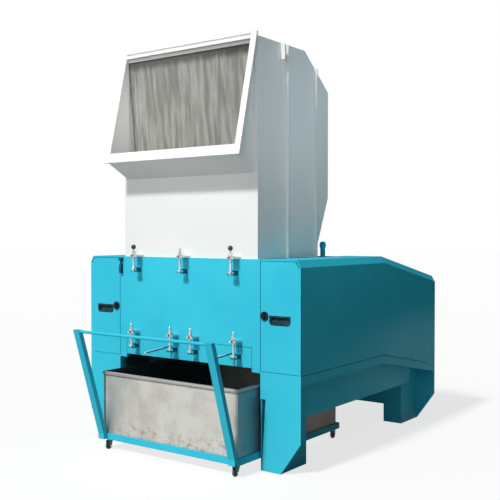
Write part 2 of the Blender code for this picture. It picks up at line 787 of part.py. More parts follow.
def build_middle():
    """The front panel, the screen flap below it, the cutting chamber, its deck and the rear cover."""
    side = INNER_X - SEAM_GAP / 2
    deck_top = DECK_HEIGHT - SHEET - SEAT_GAP
    flap_side = FLAP_WIDTH / 2 + SEAM_GAP
    flap_over = FLAP_TOP + SEAM_GAP
    points = [
        (-side, PANEL_BOTTOM),
        (-flap_side, PANEL_BOTTOM),
        (-flap_side, flap_over),
        (flap_side, flap_over),
        (flap_side, PANEL_BOTTOM),
        (side, PANEL_BOTTOM),
        (side, deck_top),
        (-side, deck_top),
    ]
    panel = front_plate("front_panel", points, FRONT_Y, FRONT_Y + PANEL_THICKNESS, TURQUOISE)
    for label, x in UPPER_CLAMPS:
        fuse(panel, *clamp_bracket(label + "_upper_bracket", x, UPPER_PIVOT_HEIGHT))
    for label, x in LOWER_CLAMPS:
        fork = clamp_fork(label + "_lower_fork", x, LOWER_PIVOT_HEIGHT + CLAMP_SPAN, FRONT_Y + SHEET)
        fuse(panel, fork)
    half = FLAP_WIDTH / 2
    flap = box(
        "screen_flap",
        (-half, FRONT_Y, FLAP_BOTTOM),
        (half, FRONT_Y + PANEL_THICKNESS, FLAP_TOP),
        TURQUOISE,
    )
    for label, x in LOWER_CLAMPS:
        fuse(flap, *clamp_bracket(label + "_lower_bracket", x, LOWER_PIVOT_HEIGHT))
    for label, x in (("left", -LOWER_INNER), ("right", LOWER_OUTER)):
        rod_x = x - EYE_WIDTH - EAR_THICKNESS - 2 * FLAP_ROD_RADIUS
        rod = cylinder(
            label + "_flap_rod",
            (rod_x, FRONT_Y + SHEET, LOWER_PIVOT_HEIGHT + FLAP_ROD_DROP),
            (rod_x, FRONT_Y - FLAP_ROD_REACH, LOWER_PIVOT_HEIGHT),
            FLAP_ROD_RADIUS,
            sides=12,
        )
        fuse(flap, rod)
    wall = INNER_X - SEAT_GAP
    chamber = box(
        "cutting_chamber",
        (-wall, FRONT_Y + PANEL_THICKNESS + SEAT_GAP, CHAMBER_BOTTOM),
        (wall, FRONT_Y + CHAMBER_DEPTH, deck_top),
        TURQUOISE,
    )
    throat = box(
        "throat",
        (-THROAT_WIDTH / 2, FRONT_Y + THROAT_FRONT, THROAT_FLOOR),
        (THROAT_WIDTH / 2, FRONT_Y + THROAT_REAR, DECK_HEIGHT + SHEET),
    )
    cut(chamber, throat)
    deck = box(
        "deck_plate",
        (-wall, FRONT_Y, DECK_HEIGHT - SHEET),
        (wall, FRONT_Y + CHAMBER_DEPTH, DECK_HEIGHT),
        TURQUOISE,
    )
    cut(deck, throat)
    for label, side in LEFT_AND_RIGHT:
        low, high = ordered(side, LUG_FROM_CENTRE - LUG_THICKNESS / 2, LUG_FROM_CENTRE + LUG_THICKNESS / 2)
        head = FRONT_Y + CHAMBER_DEPTH - LUG_INSET
        rise = DECK_HEIGHT + LUG_HEIGHT - EYE_RADIUS
        stem = box(
            label + "_lug_stem",
            (low, head - EYE_RADIUS, DECK_HEIGHT - SHEET / 2),
            (high, head + EYE_RADIUS, rise),
        )
        eye = cylinder(label + "_lug_eye", (low, head, rise), (high, head, rise), LUG_EYE_RADIUS)
        fuse(deck, stem, eye)
    cover_line = [
        (FRONT_Y + CHAMBER_DEPTH + SEAT_GAP, COVER_HEIGHT),
        (FRONT_Y + BEND_BACK, COVER_HEIGHT),
        (REAR_Y, COVER_HEIGHT - REAR_DROP),
        (REAR_Y, COVER_REAR_BOTTOM),
        (REAR_Y - SHEET, COVER_REAR_BOTTOM),
        (REAR_Y - SHEET, COVER_HEIGHT - REAR_DROP - SHEET),
        (FRONT_Y + BEND_BACK, COVER_HEIGHT - SHEET),
        (FRONT_Y + CHAMBER_DEPTH + SEAT_GAP, COVER_HEIGHT - SHEET),
    ]
    side_plate("rear_cover", cover_line, -wall, wall, TURQUOISE)
    switch = box(
        "interlock_switch",
        (-SWITCH_FROM_CENTRE - SWITCH_WIDTH / 2, FRONT_Y - SWITCH_DEPTH, DECK_HEIGHT - SWITCH_BOTTOM_DROP),
        (-SWITCH_FROM_CENTRE + SWITCH_WIDTH / 2, FRONT_Y - SEAT_GAP, DECK_HEIGHT - SWITCH_TOP_DROP),
        DARK,
        bevel=SWITCH_ROUNDING,
    )
    key_bottom = DECK_HEIGHT - SWITCH_TOP_DROP - SWITCH_HEAD_TOP_DROP
    key_top = DECK_HEIGHT - 2 * SWITCH_HEAD_TOP_DROP
    actuator = box(
        "switch_actuator",
        (-SWITCH_FROM_CENTRE - SWITCH_KEY_WIDTH / 2, FRONT_Y - SWITCH_KEY_DEPTH, key_bottom),
        (-SWITCH_FROM_CENTRE + SWITCH_KEY_WIDTH / 2, FRONT_Y - SWITCH_KEY_DEPTH / 2, key_top),
    )
    head_side = SWITCH_FROM_CENTRE - SWITCH_HEAD_WIDTH / 2
    head = box(
        "switch_head",
        (-head_side - SWITCH_HEAD_WIDTH, FRONT_Y - SWITCH_HEAD_DEPTH, DECK_HEIGHT - SWITCH_HEAD_BOTTOM_DROP),
        (-head_side, FRONT_Y - SEAT_GAP, DECK_HEIGHT - SWITCH_HEAD_TOP_DROP),
    )
    fuse(switch, actuator, head)


def build_hopper():
    """The sheet steel feed hopper: ribbed sides, a bent rear wall, a roof and the walls of its mouth."""
    bottom = DECK_HEIGHT + SEAT_GAP
    front = FRONT_Y + HOPPER_FRONT
    half = HOPPER_WIDTH / 2
    inner = half - HOPPER_SHEET - SEAT_GAP
    shoulder_y = FRONT_Y + HOPPER_REAR
    profile = [
        (front, bottom),
        (front, HOPPER_TOP),
        (front + HOPPER_TOP_LENGTH, HOPPER_TOP),
        (shoulder_y, SHOULDER_HEIGHT),
        (shoulder_y, WAIST_HEIGHT),
        (FRONT_Y + ANKLE_REAR, ANKLE_HEIGHT),
        (FRONT_Y + ANKLE_REAR, bottom),
    ]
    for label, side in LEFT_AND_RIGHT:
        low, high = ordered(side, half - HOPPER_SHEET, half)
        wall = side_plate(f"hopper_{label}_wall", profile, low, high, WHITE)
        rib_low, rib_high = ordered(side, half - HOPPER_SHEET / 2, half + RIB_PROUD)
        for number, back in enumerate(RIB_BACKS, 1):
            top = rib_top(back) - 2 * ROOF_SETTING
            rib = box(
                f"hopper_{label}_rib_{number}",
                (rib_low, FRONT_Y + back, bottom),
                (rib_high, FRONT_Y + back + RIB_THICKNESS, top),
            )
            fuse(wall, rib)
        notch_back = FRONT_Y + RIB_BACKS[0] - NOTCH_FROM_RIB
        cut_low, cut_high = ordered(side, half - CUT_PAST, half + CUT_PAST)
        notch = box(
            f"hopper_{label}_notch",
            (cut_low, notch_back - NOTCH_WIDTH, HOPPER_TOP - NOTCH_DEPTH),
            (cut_high, notch_back, HOPPER_TOP + CUT_PAST),
        )
        cut(wall, notch)
        ear_low, ear_high = ordered(side, half - HOPPER_SHEET / 2, half + EAR_PROUD)
        ear_back = notch_back - NOTCH_WIDTH
        ear = box(
            f"hopper_{label}_ear",
            (ear_low, ear_back - EAR_PLATE, HOPPER_TOP - EAR_DROP),
            (ear_high, ear_back, HOPPER_TOP - EAR_PLATE),
        )
        fuse(wall, ear)
    jamb = half - CHEEK_INSET - HOPPER_SHEET
    jamb_top = HOPPER_TOP - ROOF_SETTING - HOPPER_SHEET - SEAT_GAP
    outline = [
        (-inner, bottom),
        (inner, bottom),
        (inner, jamb_top),
        (jamb, jamb_top),
        (jamb, MOUTH_WALL_HEIGHT),
        (-jamb, MOUTH_WALL_HEIGHT),
        (-jamb, jamb_top),
        (-inner, jamb_top),
    ]
    front_wall = front_plate("hopper_front_wall", outline, front, front + HOPPER_SHEET, WHITE)
    for label, x in UPPER_CLAMPS:
        fork = clamp_fork(
            label + "_upper_fork", x, UPPER_PIVOT_HEIGHT + CLAMP_SPAN, front + HOPPER_SHEET / 2
        )
        fuse(front_wall, fork)
    roof_y = front + HOPPER_TOP_LENGTH
    rear_y = shoulder_y - ROOF_SETTING
    ankle_y = FRONT_Y + ANKLE_REAR - ROOF_SETTING
    pitch = math.atan2(HOPPER_TOP - SHOULDER_HEIGHT, shoulder_y - roof_y)
    rear_line = [
        (roof_y, HOPPER_TOP - ROOF_SETTING),
        (rear_y, SHOULDER_HEIGHT),
        (rear_y, WAIST_HEIGHT),
        (ankle_y, ANKLE_HEIGHT),
        (ankle_y, bottom),
        (ankle_y - HOPPER_SHEET, bottom),
        (ankle_y - HOPPER_SHEET, ANKLE_HEIGHT + ROOF_SETTING),
        (rear_y - HOPPER_SHEET, WAIST_HEIGHT + ROOF_SETTING),
        (rear_y - HOPPER_SHEET, SHOULDER_HEIGHT - ROOF_SETTING),
        (roof_y, HOPPER_TOP - ROOF_SETTING - HOPPER_SHEET / math.cos(pitch)),
    ]
    side_plate("hopper_rear_wall", rear_line, -inner, inner, WHITE)
    box(
        "hopper_roof",
        (-inner, front, HOPPER_TOP - ROOF_SETTING - HOPPER_SHEET),
        (inner, roof_y - SEAT_GAP, HOPPER_TOP - ROOF_SETTING),
        WHITE,
    )


def rib_top(back):
    """How high the hopper's side is at this distance from the base's front."""
    slope_start = HOPPER_FRONT + HOPPER_TOP_LENGTH
    if back <= slope_start:
        return HOPPER_TOP
    share = (back - slope_start) / (HOPPER_REAR - slope_start)
    return HOPPER_TOP + share * (SHOULDER_HEIGHT - HOPPER_TOP)


def build_mouth():
    """The chute of the slanted mouth, its face frame, and the strip curtain on its rail."""
    wall_y = FRONT_Y + HOPPER_FRONT - SEAT_GAP
    slant = math.atan2(MOUTH_REACH, MOUTH_TOP - MOUTH_LIP_BOTTOM)
    cheek_outer = HOPPER_WIDTH / 2 - CHEEK_INSET
    cheek_inner = cheek_outer - HOPPER_SHEET
    lip_back = wall_y - MOUTH_REACH + SEAT_GAP
    roof_z = HOPPER_TOP - ROOF_SETTING
    cheek = [
        (lip_back, MOUTH_LIP_BOTTOM),
        (wall_y, MOUTH_WALL_HEIGHT),
        (wall_y, roof_z),
        (lip_back + (roof_z - MOUTH_LIP_BOTTOM) * math.tan(slant), roof_z),
    ]
    chute = side_plate("mouth_chute", cheek, cheek_inner, cheek_outer, WHITE)
    far_cheek = side_plate("mouth_far_cheek", cheek, -cheek_outer, -cheek_inner)
    floor_line = [
        (lip_back, MOUTH_LIP_BOTTOM),
        (wall_y, MOUTH_WALL_HEIGHT),
        (wall_y, MOUTH_WALL_HEIGHT + HOPPER_SHEET),
        (lip_back + HOPPER_SHEET * math.tan(slant), MOUTH_LIP_BOTTOM + HOPPER_SHEET),
    ]
    floor_side = cheek_inner + HOPPER_SHEET / 2
    chute_floor = side_plate("mouth_floor", floor_line, -floor_side, floor_side)
    fuse(chute, far_cheek, chute_floor)
    outer = HOPPER_WIDTH / 2 + MOUTH_FRAME_OVERHANG
    length = (MOUTH_TOP - MOUTH_LIP_BOTTOM) / math.cos(slant)
    centre_z = (MOUTH_TOP + MOUTH_LIP_BOTTOM) / 2
    centre_y = wall_y - MOUTH_REACH / 2 - MOUTH_FRAME_DEPTH / 2 / math.cos(slant)
    face = [(-outer, -length / 2), (outer, -length / 2), (outer, length / 2), (-outer, length / 2)]
    window_side = outer - MOUTH_BAR
    window = [
        (-window_side, MOUTH_LIP_HEIGHT - length / 2),
        (window_side, MOUTH_LIP_HEIGHT - length / 2),
        (window_side, length / 2 - MOUTH_BAR),
        (-window_side, length / 2 - MOUTH_BAR),
    ]
    lean = (math.pi / 2 - slant, 0, 0)
    place = (0, centre_y, centre_z)
    frame = flat_outline("mouth_frame", face, MOUTH_FRAME_DEPTH, place, lean, WHITE)
    opening = flat_outline("mouth_window", window, 6 * MOUTH_FRAME_DEPTH, place, lean, None)
    groove_top = length / 2 - MOUTH_GROOVE_EDGE
    groove = [
        (-window_side, groove_top - MOUTH_GROOVE),
        (window_side, groove_top - MOUTH_GROOVE),
        (window_side, groove_top),
        (-window_side, groove_top),
    ]
    face_out = Vector((0, -math.cos(slant), -math.sin(slant))) * MOUTH_FRAME_DEPTH / 2
    slit = flat_outline("mouth_groove", groove, 2 * MOUTH_GROOVE_DEPTH, Vector(place) + face_out, lean, None)
    cut(frame, opening, slit)
    curtain_side = cheek_inner - CURTAIN_SIDE_GAP
    top_y = FRONT_Y + CURTAIN_TOP_BACK
    bottom_y = FRONT_Y + CURTAIN_BOTTOM_BACK
    curtain = [
        (top_y, CURTAIN_TOP),
        (top_y + CURTAIN_THICKNESS, CURTAIN_TOP),
        (bottom_y + CURTAIN_THICKNESS, CURTAIN_BOTTOM),
        (bottom_y, CURTAIN_BOTTOM),
    ]
    side_plate("strip_curtain", curtain, -curtain_side, curtain_side, STRIP)
    rail_y = top_y + CURTAIN_THICKNESS / 2
    box(
        "curtain_rail",
        (SEAT_GAP - cheek_inner, rail_y - RAIL_SIZE / 2, CURTAIN_TOP + SEAT_GAP),
        (cheek_inner - SEAT_GAP, rail_y + RAIL_SIZE / 2, HOPPER_TOP - ROOF_SETTING - HOPPER_SHEET - SEAT_GAP),
        WHITE,
    )


def build_caster(label, x, y, swivels, frame):
    """A caster under the cart: its fork and a wheel on an axle."""
    wheel_y = y - (WHEEL_TRAIL if swivels else 0.0)
    plate_z = CART_FRAME_BOTTOM - SEAT_GAP
    neck_z = plate_z - CASTER_PLATE - SWIVEL_HEIGHT
    inner = WHEEL_WIDTH / 2 + WHEEL_SIDE_GAP
    outer = inner + FORK_WALL
    crown_top = neck_z if swivels else plate_z
    name = label + "_caster"
    fork = box(
        name,
        (x - outer, wheel_y - CASTER_CROWN, crown_top - FORK_WALL),
        (x + outer, y + CASTER_CROWN, crown_top),
        DARK,
    )
    cheek_line = [
        (wheel_y - CHEEK_FOOT, WHEEL_RADIUS - CHEEK_FOOT),
        (wheel_y + CHEEK_FOOT, WHEEL_RADIUS - CHEEK_FOOT),
        (y + CASTER_CROWN - CHEEK_SETBACK, crown_top - FORK_WALL / 2),
        (wheel_y - CASTER_CROWN + CHEEK_SETBACK, crown_top - FORK_WALL / 2),
    ]
    for end, near in (("a", -outer), ("b", inner)):
        fuse(fork, side_plate(f"{name}_cheek_{end}", cheek_line, x + near, x + near + FORK_WALL))
    axle_reach = outer + FORK_WALL
    axle = cylinder(
        name + "_axle",
        (x - axle_reach, wheel_y, WHEEL_RADIUS),
        (x + axle_reach, wheel_y, WHEEL_RADIUS),
        AXLE_RADIUS,
        sides=12,
    )
    fuse(fork, axle)
    if swivels:
        neck = cylinder(
            name + "_neck",
            (x, y, neck_z - FORK_WALL / 2),
            (x, y, plate_z - CASTER_PLATE / 2),
            NECK_RADIUS,
            sides=20,
        )
        flange = cylinder(
            name + "_flange", (x, y, plate_z - CASTER_PLATE), (x, y, plate_z), FLANGE_RADIUS, sides=20
        )
        fuse(fork, neck, flange)
        turn = pivot(name + "_axis", (x, y, plate_z))
        hold_by(fork, turn)
        hold_by(turn, frame)
        frame = turn
    else:
        half = CASTER_PLATE_SIZE / 2
        plate = box(
            name + "_plate", (x - half, y - half, plate_z - CASTER_PLATE), (x + half, y + half, plate_z)
        )
        fuse(fork, plate)
        hold_by(fork, frame)
    spin = pivot(label + "_wheel_axis", (x, wheel_y, WHEEL_RADIUS))
    hold_by(spin, frame)
    wheel = turned(label + "_wheel", wheel_profile(), (x, wheel_y, WHEEL_RADIUS), RUBBER)
    hold_by(wheel, spin)


def wheel_profile():
    """A wheel's half section, down its outer side, with the bore left open: radius and distance along."""
    half = WHEEL_WIDTH / 2
    bore = AXLE_RADIUS + PIN_CLEARANCE / 2
    disc = half - HUB_PROUD
    side = [
        (bore, half),
        (HUB_RADIUS, half),
        (HUB_RADIUS + HUB_PROUD, disc),
        (WHEEL_RADIUS - TREAD_CROWN, disc),
        (WHEEL_RADIUS, disc - TREAD_CROWN),
    ]
    return side + [(radius, -along) for radius, along in reversed(side)]


def turned(name, profile, centre, finish, steps=24):
    """A profile of radius and distance along, turned about an axis that lies along X."""
    data = bpy.data.meshes.new(name)
    shape = bmesh.new()
    corners = [shape.verts.new((radius, 0, along)) for radius, along in profile]
    for first, second in zip(corners, corners[1:] + corners[:1]):
        shape.edges.new((first, second))
    shape.to_mesh(data)
    shape.free()
    made = add_object(name, data, finish, centre, (0, math.pi / 2, 0))
    modify(
        made,
        "SCREW",
        steps=steps,
        render_steps=steps,
        use_merge_vertices=True,
        merge_threshold=0.0001,
        use_smooth_shade=True,
    )
    return made


def build_cart():
    """The wheeled cart: a channel frame, a stainless bin with a rolled rim, a leaning handle, casters."""
    front = FRONT_Y - CART_FRONT
    back = front + CART_LENGTH
    left = CART_OFFSET - CART_WIDTH / 2
    right = CART_OFFSET + CART_WIDTH / 2
    top = CART_FRAME_BOTTOM + CHANNEL_HEIGHT
    frame = box("cart_frame", (left, front, CART_FRAME_BOTTOM), (right, back, top), TURQUOISE)
    window = box(
        "cart_frame_window",
        (left + CHANNEL_WIDTH, front + CHANNEL_WIDTH, CART_FRAME_BOTTOM - CUT_PAST),
        (right - CHANNEL_WIDTH, back - CHANNEL_WIDTH, top + CUT_PAST),
    )
    channel = box(
        "cart_frame_channel",
        (left + CHANNEL_WALL, front + CHANNEL_WALL, CART_FRAME_BOTTOM + CHANNEL_WALL),
        (right - CHANNEL_WALL, back - CHANNEL_WALL, top - CHANNEL_WALL),
    )
    cut(frame, window, channel)
    track = pivot("cart_axis", (CART_OFFSET, front, 0.0))
    hold_by(frame, track)
    bin_low = (left + BIN_INSET, front + BIN_INSET, top + SEAT_GAP)
    bin_high = (right - BIN_INSET, back - BIN_REAR_INSET, BIN_TOP)
    steel_bin = box("cart_bin", bin_low, bin_high, STEEL)
    hold_by(steel_bin, track)
    inside = box(
        "cart_bin_inside",
        (bin_low[0] + BIN_SHEET, bin_low[1] + BIN_SHEET, bin_low[2] + BIN_SHEET),
        (bin_high[0] - BIN_SHEET, bin_high[1] - BIN_SHEET, BIN_TOP + CUT_PAST),
    )
    rim_z = BIN_TOP - RIM_RADIUS
    corners = [
        (bin_low[0], bin_low[1], rim_z),
        (bin_high[0], bin_low[1], rim_z),
        (bin_high[0], bin_high[1], rim_z),
        (bin_low[0], bin_high[1], rim_z),
    ]
    fuse(steel_bin, closed_bar("cart_bin_roll", corners, RIM_RADIUS))
    cut(steel_bin, inside)
    build_handle(front, left, right, track)
    for end, y in (("front", front + CASTER_INSET), ("rear", back - REAR_CASTER_INSET)):
        for label, x in (("left", left + CASTER_INSET), ("right", right - CASTER_INSET)):
            build_caster(f"{end}_{label}", x, y, end == "front", track)


def build_handle(front, left, right, track):
    """Two leaning flat bars on the frame's front, joined by a crossbar at hand height."""
    foot_z = CART_FRAME_BOTTOM + CHANNEL_WALL
    foot_y = front - UPRIGHT_DEPTH / 2 - SEAT_GAP
    top_y = FRONT_Y - HANDLE_REACH + UPRIGHT_DEPTH / 2
    crossbar = cylinder(
        "cart_handle",
        (left + UPRIGHT_WIDTH / 2, top_y, HANDLE_TOP - CROSSBAR_RADIUS),
        (right - UPRIGHT_WIDTH / 2, top_y, HANDLE_TOP - CROSSBAR_RADIUS),
        CROSSBAR_RADIUS,
        TURQUOISE,
        sides=12,
    )
    hold_by(crossbar, track)
    half = UPRIGHT_DEPTH / 2
    knee_z = CART_FRAME_BOTTOM + CHANNEL_HEIGHT
    for label, low in (("left", left), ("right", right - UPRIGHT_WIDTH)):
        upright = side_plate(
            f"cart_handle_{label}_bar",
            [
                (foot_y - half, foot_z),
                (foot_y + half, foot_z),
                (foot_y + half, knee_z),
                (top_y + half, HANDLE_TOP),
                (top_y - half, HANDLE_TOP),
                (foot_y - half, knee_z),
            ],
            low,
            low + UPRIGHT_WIDTH,
        )
        fuse(crossbar, upright)


for label, side in LEFT_AND_RIGHT:
    build_cabinet(label, side)
    build_door(label, side)
    build_leg(label, side, front=True)
    build_leg(label, side, front=False)
build_beams()
build_middle()
for label, x in UPPER_CLAMPS:
    build_swing_bolt(f"upper_{label}_bolt", x, UPPER_PIVOT_HEIGHT, knob=label != "middle")
for label, x in LOWER_CLAMPS:
    build_swing_bolt(f"lower_{label}_bolt", x, LOWER_PIVOT_HEIGHT, knob=False)
build_hopper()
build_mouth()
build_cart()
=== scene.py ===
import json
import math
import random

import bmesh
import bpy
from mathutils import Matrix, Vector


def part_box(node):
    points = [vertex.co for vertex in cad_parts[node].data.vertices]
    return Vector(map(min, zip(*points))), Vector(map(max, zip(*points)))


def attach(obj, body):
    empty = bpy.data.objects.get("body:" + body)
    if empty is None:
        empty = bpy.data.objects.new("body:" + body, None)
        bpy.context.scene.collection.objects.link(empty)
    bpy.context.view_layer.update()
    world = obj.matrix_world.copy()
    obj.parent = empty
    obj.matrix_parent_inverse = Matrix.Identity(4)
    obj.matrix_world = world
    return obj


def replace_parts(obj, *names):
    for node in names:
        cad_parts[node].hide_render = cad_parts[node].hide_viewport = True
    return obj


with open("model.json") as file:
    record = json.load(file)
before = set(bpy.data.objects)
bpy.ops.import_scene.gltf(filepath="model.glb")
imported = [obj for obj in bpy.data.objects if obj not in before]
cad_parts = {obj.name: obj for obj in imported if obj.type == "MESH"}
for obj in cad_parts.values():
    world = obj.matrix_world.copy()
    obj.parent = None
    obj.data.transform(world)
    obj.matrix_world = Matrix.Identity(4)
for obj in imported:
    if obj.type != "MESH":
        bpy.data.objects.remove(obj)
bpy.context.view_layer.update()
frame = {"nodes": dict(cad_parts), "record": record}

random.seed(7)

# where things are on the real machine, read from the CAD
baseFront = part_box("deck_plate")[0][1]
binLow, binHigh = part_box("cart_bin")

# camera, light, floor

view = {
    "place": (3.6147, baseFront - 4.2056, 1.5),  # to the right of the front, at eye height
    "turn": 36.185,
    "down": 1.149,
    "lens": 59.02,
    "sensor": 36,
}

light = {
    "sunFrom": (-0.05, -0.66, 0.71),
    "sunStrength": 2.78,
    "sunSpread": 6.0,
    "sky": (0.95, 0.98, 1.0),
    "skyAround": 0.02,
    "skyFront": 1.05,
    # axis, from and to where on it, and how strong at both: weaker low down and to the right
    "skyShape": [
        ("Y", 0.0, -1.0, 0.0, 1.0),
        ("X", -0.1, 0.9, 1.0, 0.25),
        ("Z", 0.0, 0.3, 0.3, 1.0),
    ],
}

lamps = {
    "sideLamp": {
        "at": (3.4, 0.3, 3.1),
        "aim": (0.6, -0.2, 2.35),  # the hopper's right wall
        "watts": 2.3,
        "size": 1.2,
        "spread": 40.0,
        "tint": (0.62, 0.86, 1.0),
    },
    "frontLamp": {
        "at": (2.3, -4.6, 2.4),
        "aim": (0.0, -0.8, 2.2),  # the hopper's mouth
        "watts": 2.6,
        "size": 1.6,
        "spread": 34.0,
        "tint": (0.97, 1.0, 0.98),
    },
    "cheekLamp": {
        "at": (2.6, -3.2, 2.6),
        "aim": (-0.5, -0.8, 2.35),  # the mouth's left cheek
        "watts": 0.5,
        "size": 0.5,
        "spread": 14.0,
        "tint": (1.0, 1.0, 0.98),
    },
}

floorLook = {
    "colour": (0.27, 0.27, 0.27),
    "glow": 0.73,
    "roughness": 0.95,
    "specular": 0.1,
    "halfSize": 60,
}


def addToScene(name, data):
    made = bpy.data.objects.new(name, data)
    bpy.context.scene.collection.objects.link(made)
    return made


def setUpCamera():
    data = bpy.data.cameras.new("camera")
    data.lens = view["lens"]
    data.sensor_width = view["sensor"]
    camera = addToScene("camera", data)
    camera.location = view["place"]
    camera.rotation_euler = (math.radians(90 - view["down"]), 0, math.radians(view["turn"]))
    bpy.context.scene.camera = camera


def setUpSun():
    data = bpy.data.lights.new("sun", "SUN")
    data.energy = light["sunStrength"]
    data.angle = math.radians(light["sunSpread"])
    sun = addToScene("sun", data)
    sun.rotation_euler = Vector(light["sunFrom"]).to_track_quat("Z", "Y").to_euler()


def setUpLamp(name, lamp):
    data = bpy.data.lights.new(name, "AREA")
    data.energy = lamp["watts"]
    data.size = lamp["size"]
    data.spread = math.radians(lamp["spread"])
    data.color = lamp["tint"]
    made = addToScene(name, data)
    made.location = lamp["at"]
    back = Vector(lamp["at"]) - Vector(lamp["aim"])
    made.rotation_euler = back.to_track_quat("Z", "Y").to_euler()


def joined(tree, operation, first, second):
    node = tree.nodes.new("ShaderNodeMath")
    node.operation = operation
    tree.links.new(first, node.inputs[0])
    tree.links.new(second, node.inputs[1])
    return node.outputs[0]


def seenRays(tree):
    # 1 for the rays that show the background: straight, through glass and mirrored
    path = tree.nodes.new("ShaderNodeLightPath").outputs
    total = joined(tree, "MAXIMUM", path["Is Camera Ray"], path["Is Transmission Ray"])
    return joined(tree, "MAXIMUM", total, path["Is Glossy Ray"])


def skyStrength(tree):
    # the strengths along the three axes multiplied, on top of an even part
    direction = tree.nodes.new("ShaderNodeTexCoord").outputs["Generated"]
    axes = tree.nodes.new("ShaderNodeSeparateXYZ")
    tree.links.new(direction, axes.inputs[0])
    shares = []
    for axis, start, end, low, high in light["skyShape"]:
        share = tree.nodes.new("ShaderNodeMapRange")
        for label, value in zip(("From Min", "From Max", "To Min", "To Max"), (start, end, low, high)):
            share.inputs[label].default_value = value
        tree.links.new(axes.outputs[axis], share.inputs["Value"])
        shares.append(share.outputs[0])
    strength = shares[0]
    for share in shares[1:]:
        strength = joined(tree, "MULTIPLY", strength, share)
    total = tree.nodes.new("ShaderNodeMath")
    total.operation = "MULTIPLY_ADD"
    total.inputs[1].default_value = light["skyFront"]
    total.inputs[2].default_value = light["skyAround"]
    tree.links.new(strength, total.inputs[0])
    return total.outputs[0]


def showToCamera(tree, lighting, shown, surface):
    # the first shader lights the scene, and the second is what the camera sees
    mix = tree.nodes.new("ShaderNodeMixShader")
    tree.links.new(seenRays(tree), mix.inputs["Fac"])
    tree.links.new(lighting, mix.inputs[1])
    tree.links.new(shown, mix.inputs[2])
    tree.links.new(mix.outputs[0], surface)


def setUpSky():
    world = bpy.data.worlds.new("studio")
    bpy.context.scene.world = world
    world.use_nodes = True
    tree = world.node_tree
    sky = tree.nodes["Background"]
    sky.inputs["Color"].default_value = (*light["sky"], 1)
    tree.links.new(skyStrength(tree), sky.inputs["Strength"])
    white = tree.nodes.new("ShaderNodeBackground")
    white.inputs["Color"].default_value = (1, 1, 1, 1)
    showToCamera(tree, sky.outputs[0], white.outputs[0], tree.nodes["World Output"].inputs["Surface"])


def setUpFloor():
    shape = bmesh.new()
    bmesh.ops.create_grid(shape, x_segments=4, y_segments=4, size=floorLook["halfSize"])
    data = bpy.data.meshes.new("floor")
    shape.to_mesh(data)
    shape.free()
    floor = addToScene("floor", data)
    paper = bpy.data.materials.new("paleFloor")
    paper.use_nodes = True
    tree = paper.node_tree
    plain = tree.nodes["Principled BSDF"]
    plain.inputs["Base Color"].default_value = (*floorLook["colour"], 1)
    plain.inputs["Roughness"].default_value = floorLook["roughness"]
    plain.inputs["Specular IOR Level"].default_value = floorLook["specular"]
    glow = tree.nodes.new("ShaderNodeEmission")
    glow.inputs["Strength"].default_value = floorLook["glow"]
    both = tree.nodes.new("ShaderNodeAddShader")
    tree.links.new(plain.outputs[0], both.inputs[0])
    tree.links.new(glow.outputs[0], both.inputs[1])
    surface = tree.nodes["Material Output"].inputs["Surface"]
    showToCamera(tree, plain.outputs[0], both.outputs[0], surface)
    data.materials.append(paper)


setUpCamera()
setUpSun()
for lampName, lampLook in lamps.items():
    setUpLamp(lampName, lampLook)
setUpSky()
setUpFloor()
bpy.context.scene.view_settings.view_transform = "Standard"
print("camera, light and floor are set")

# materials


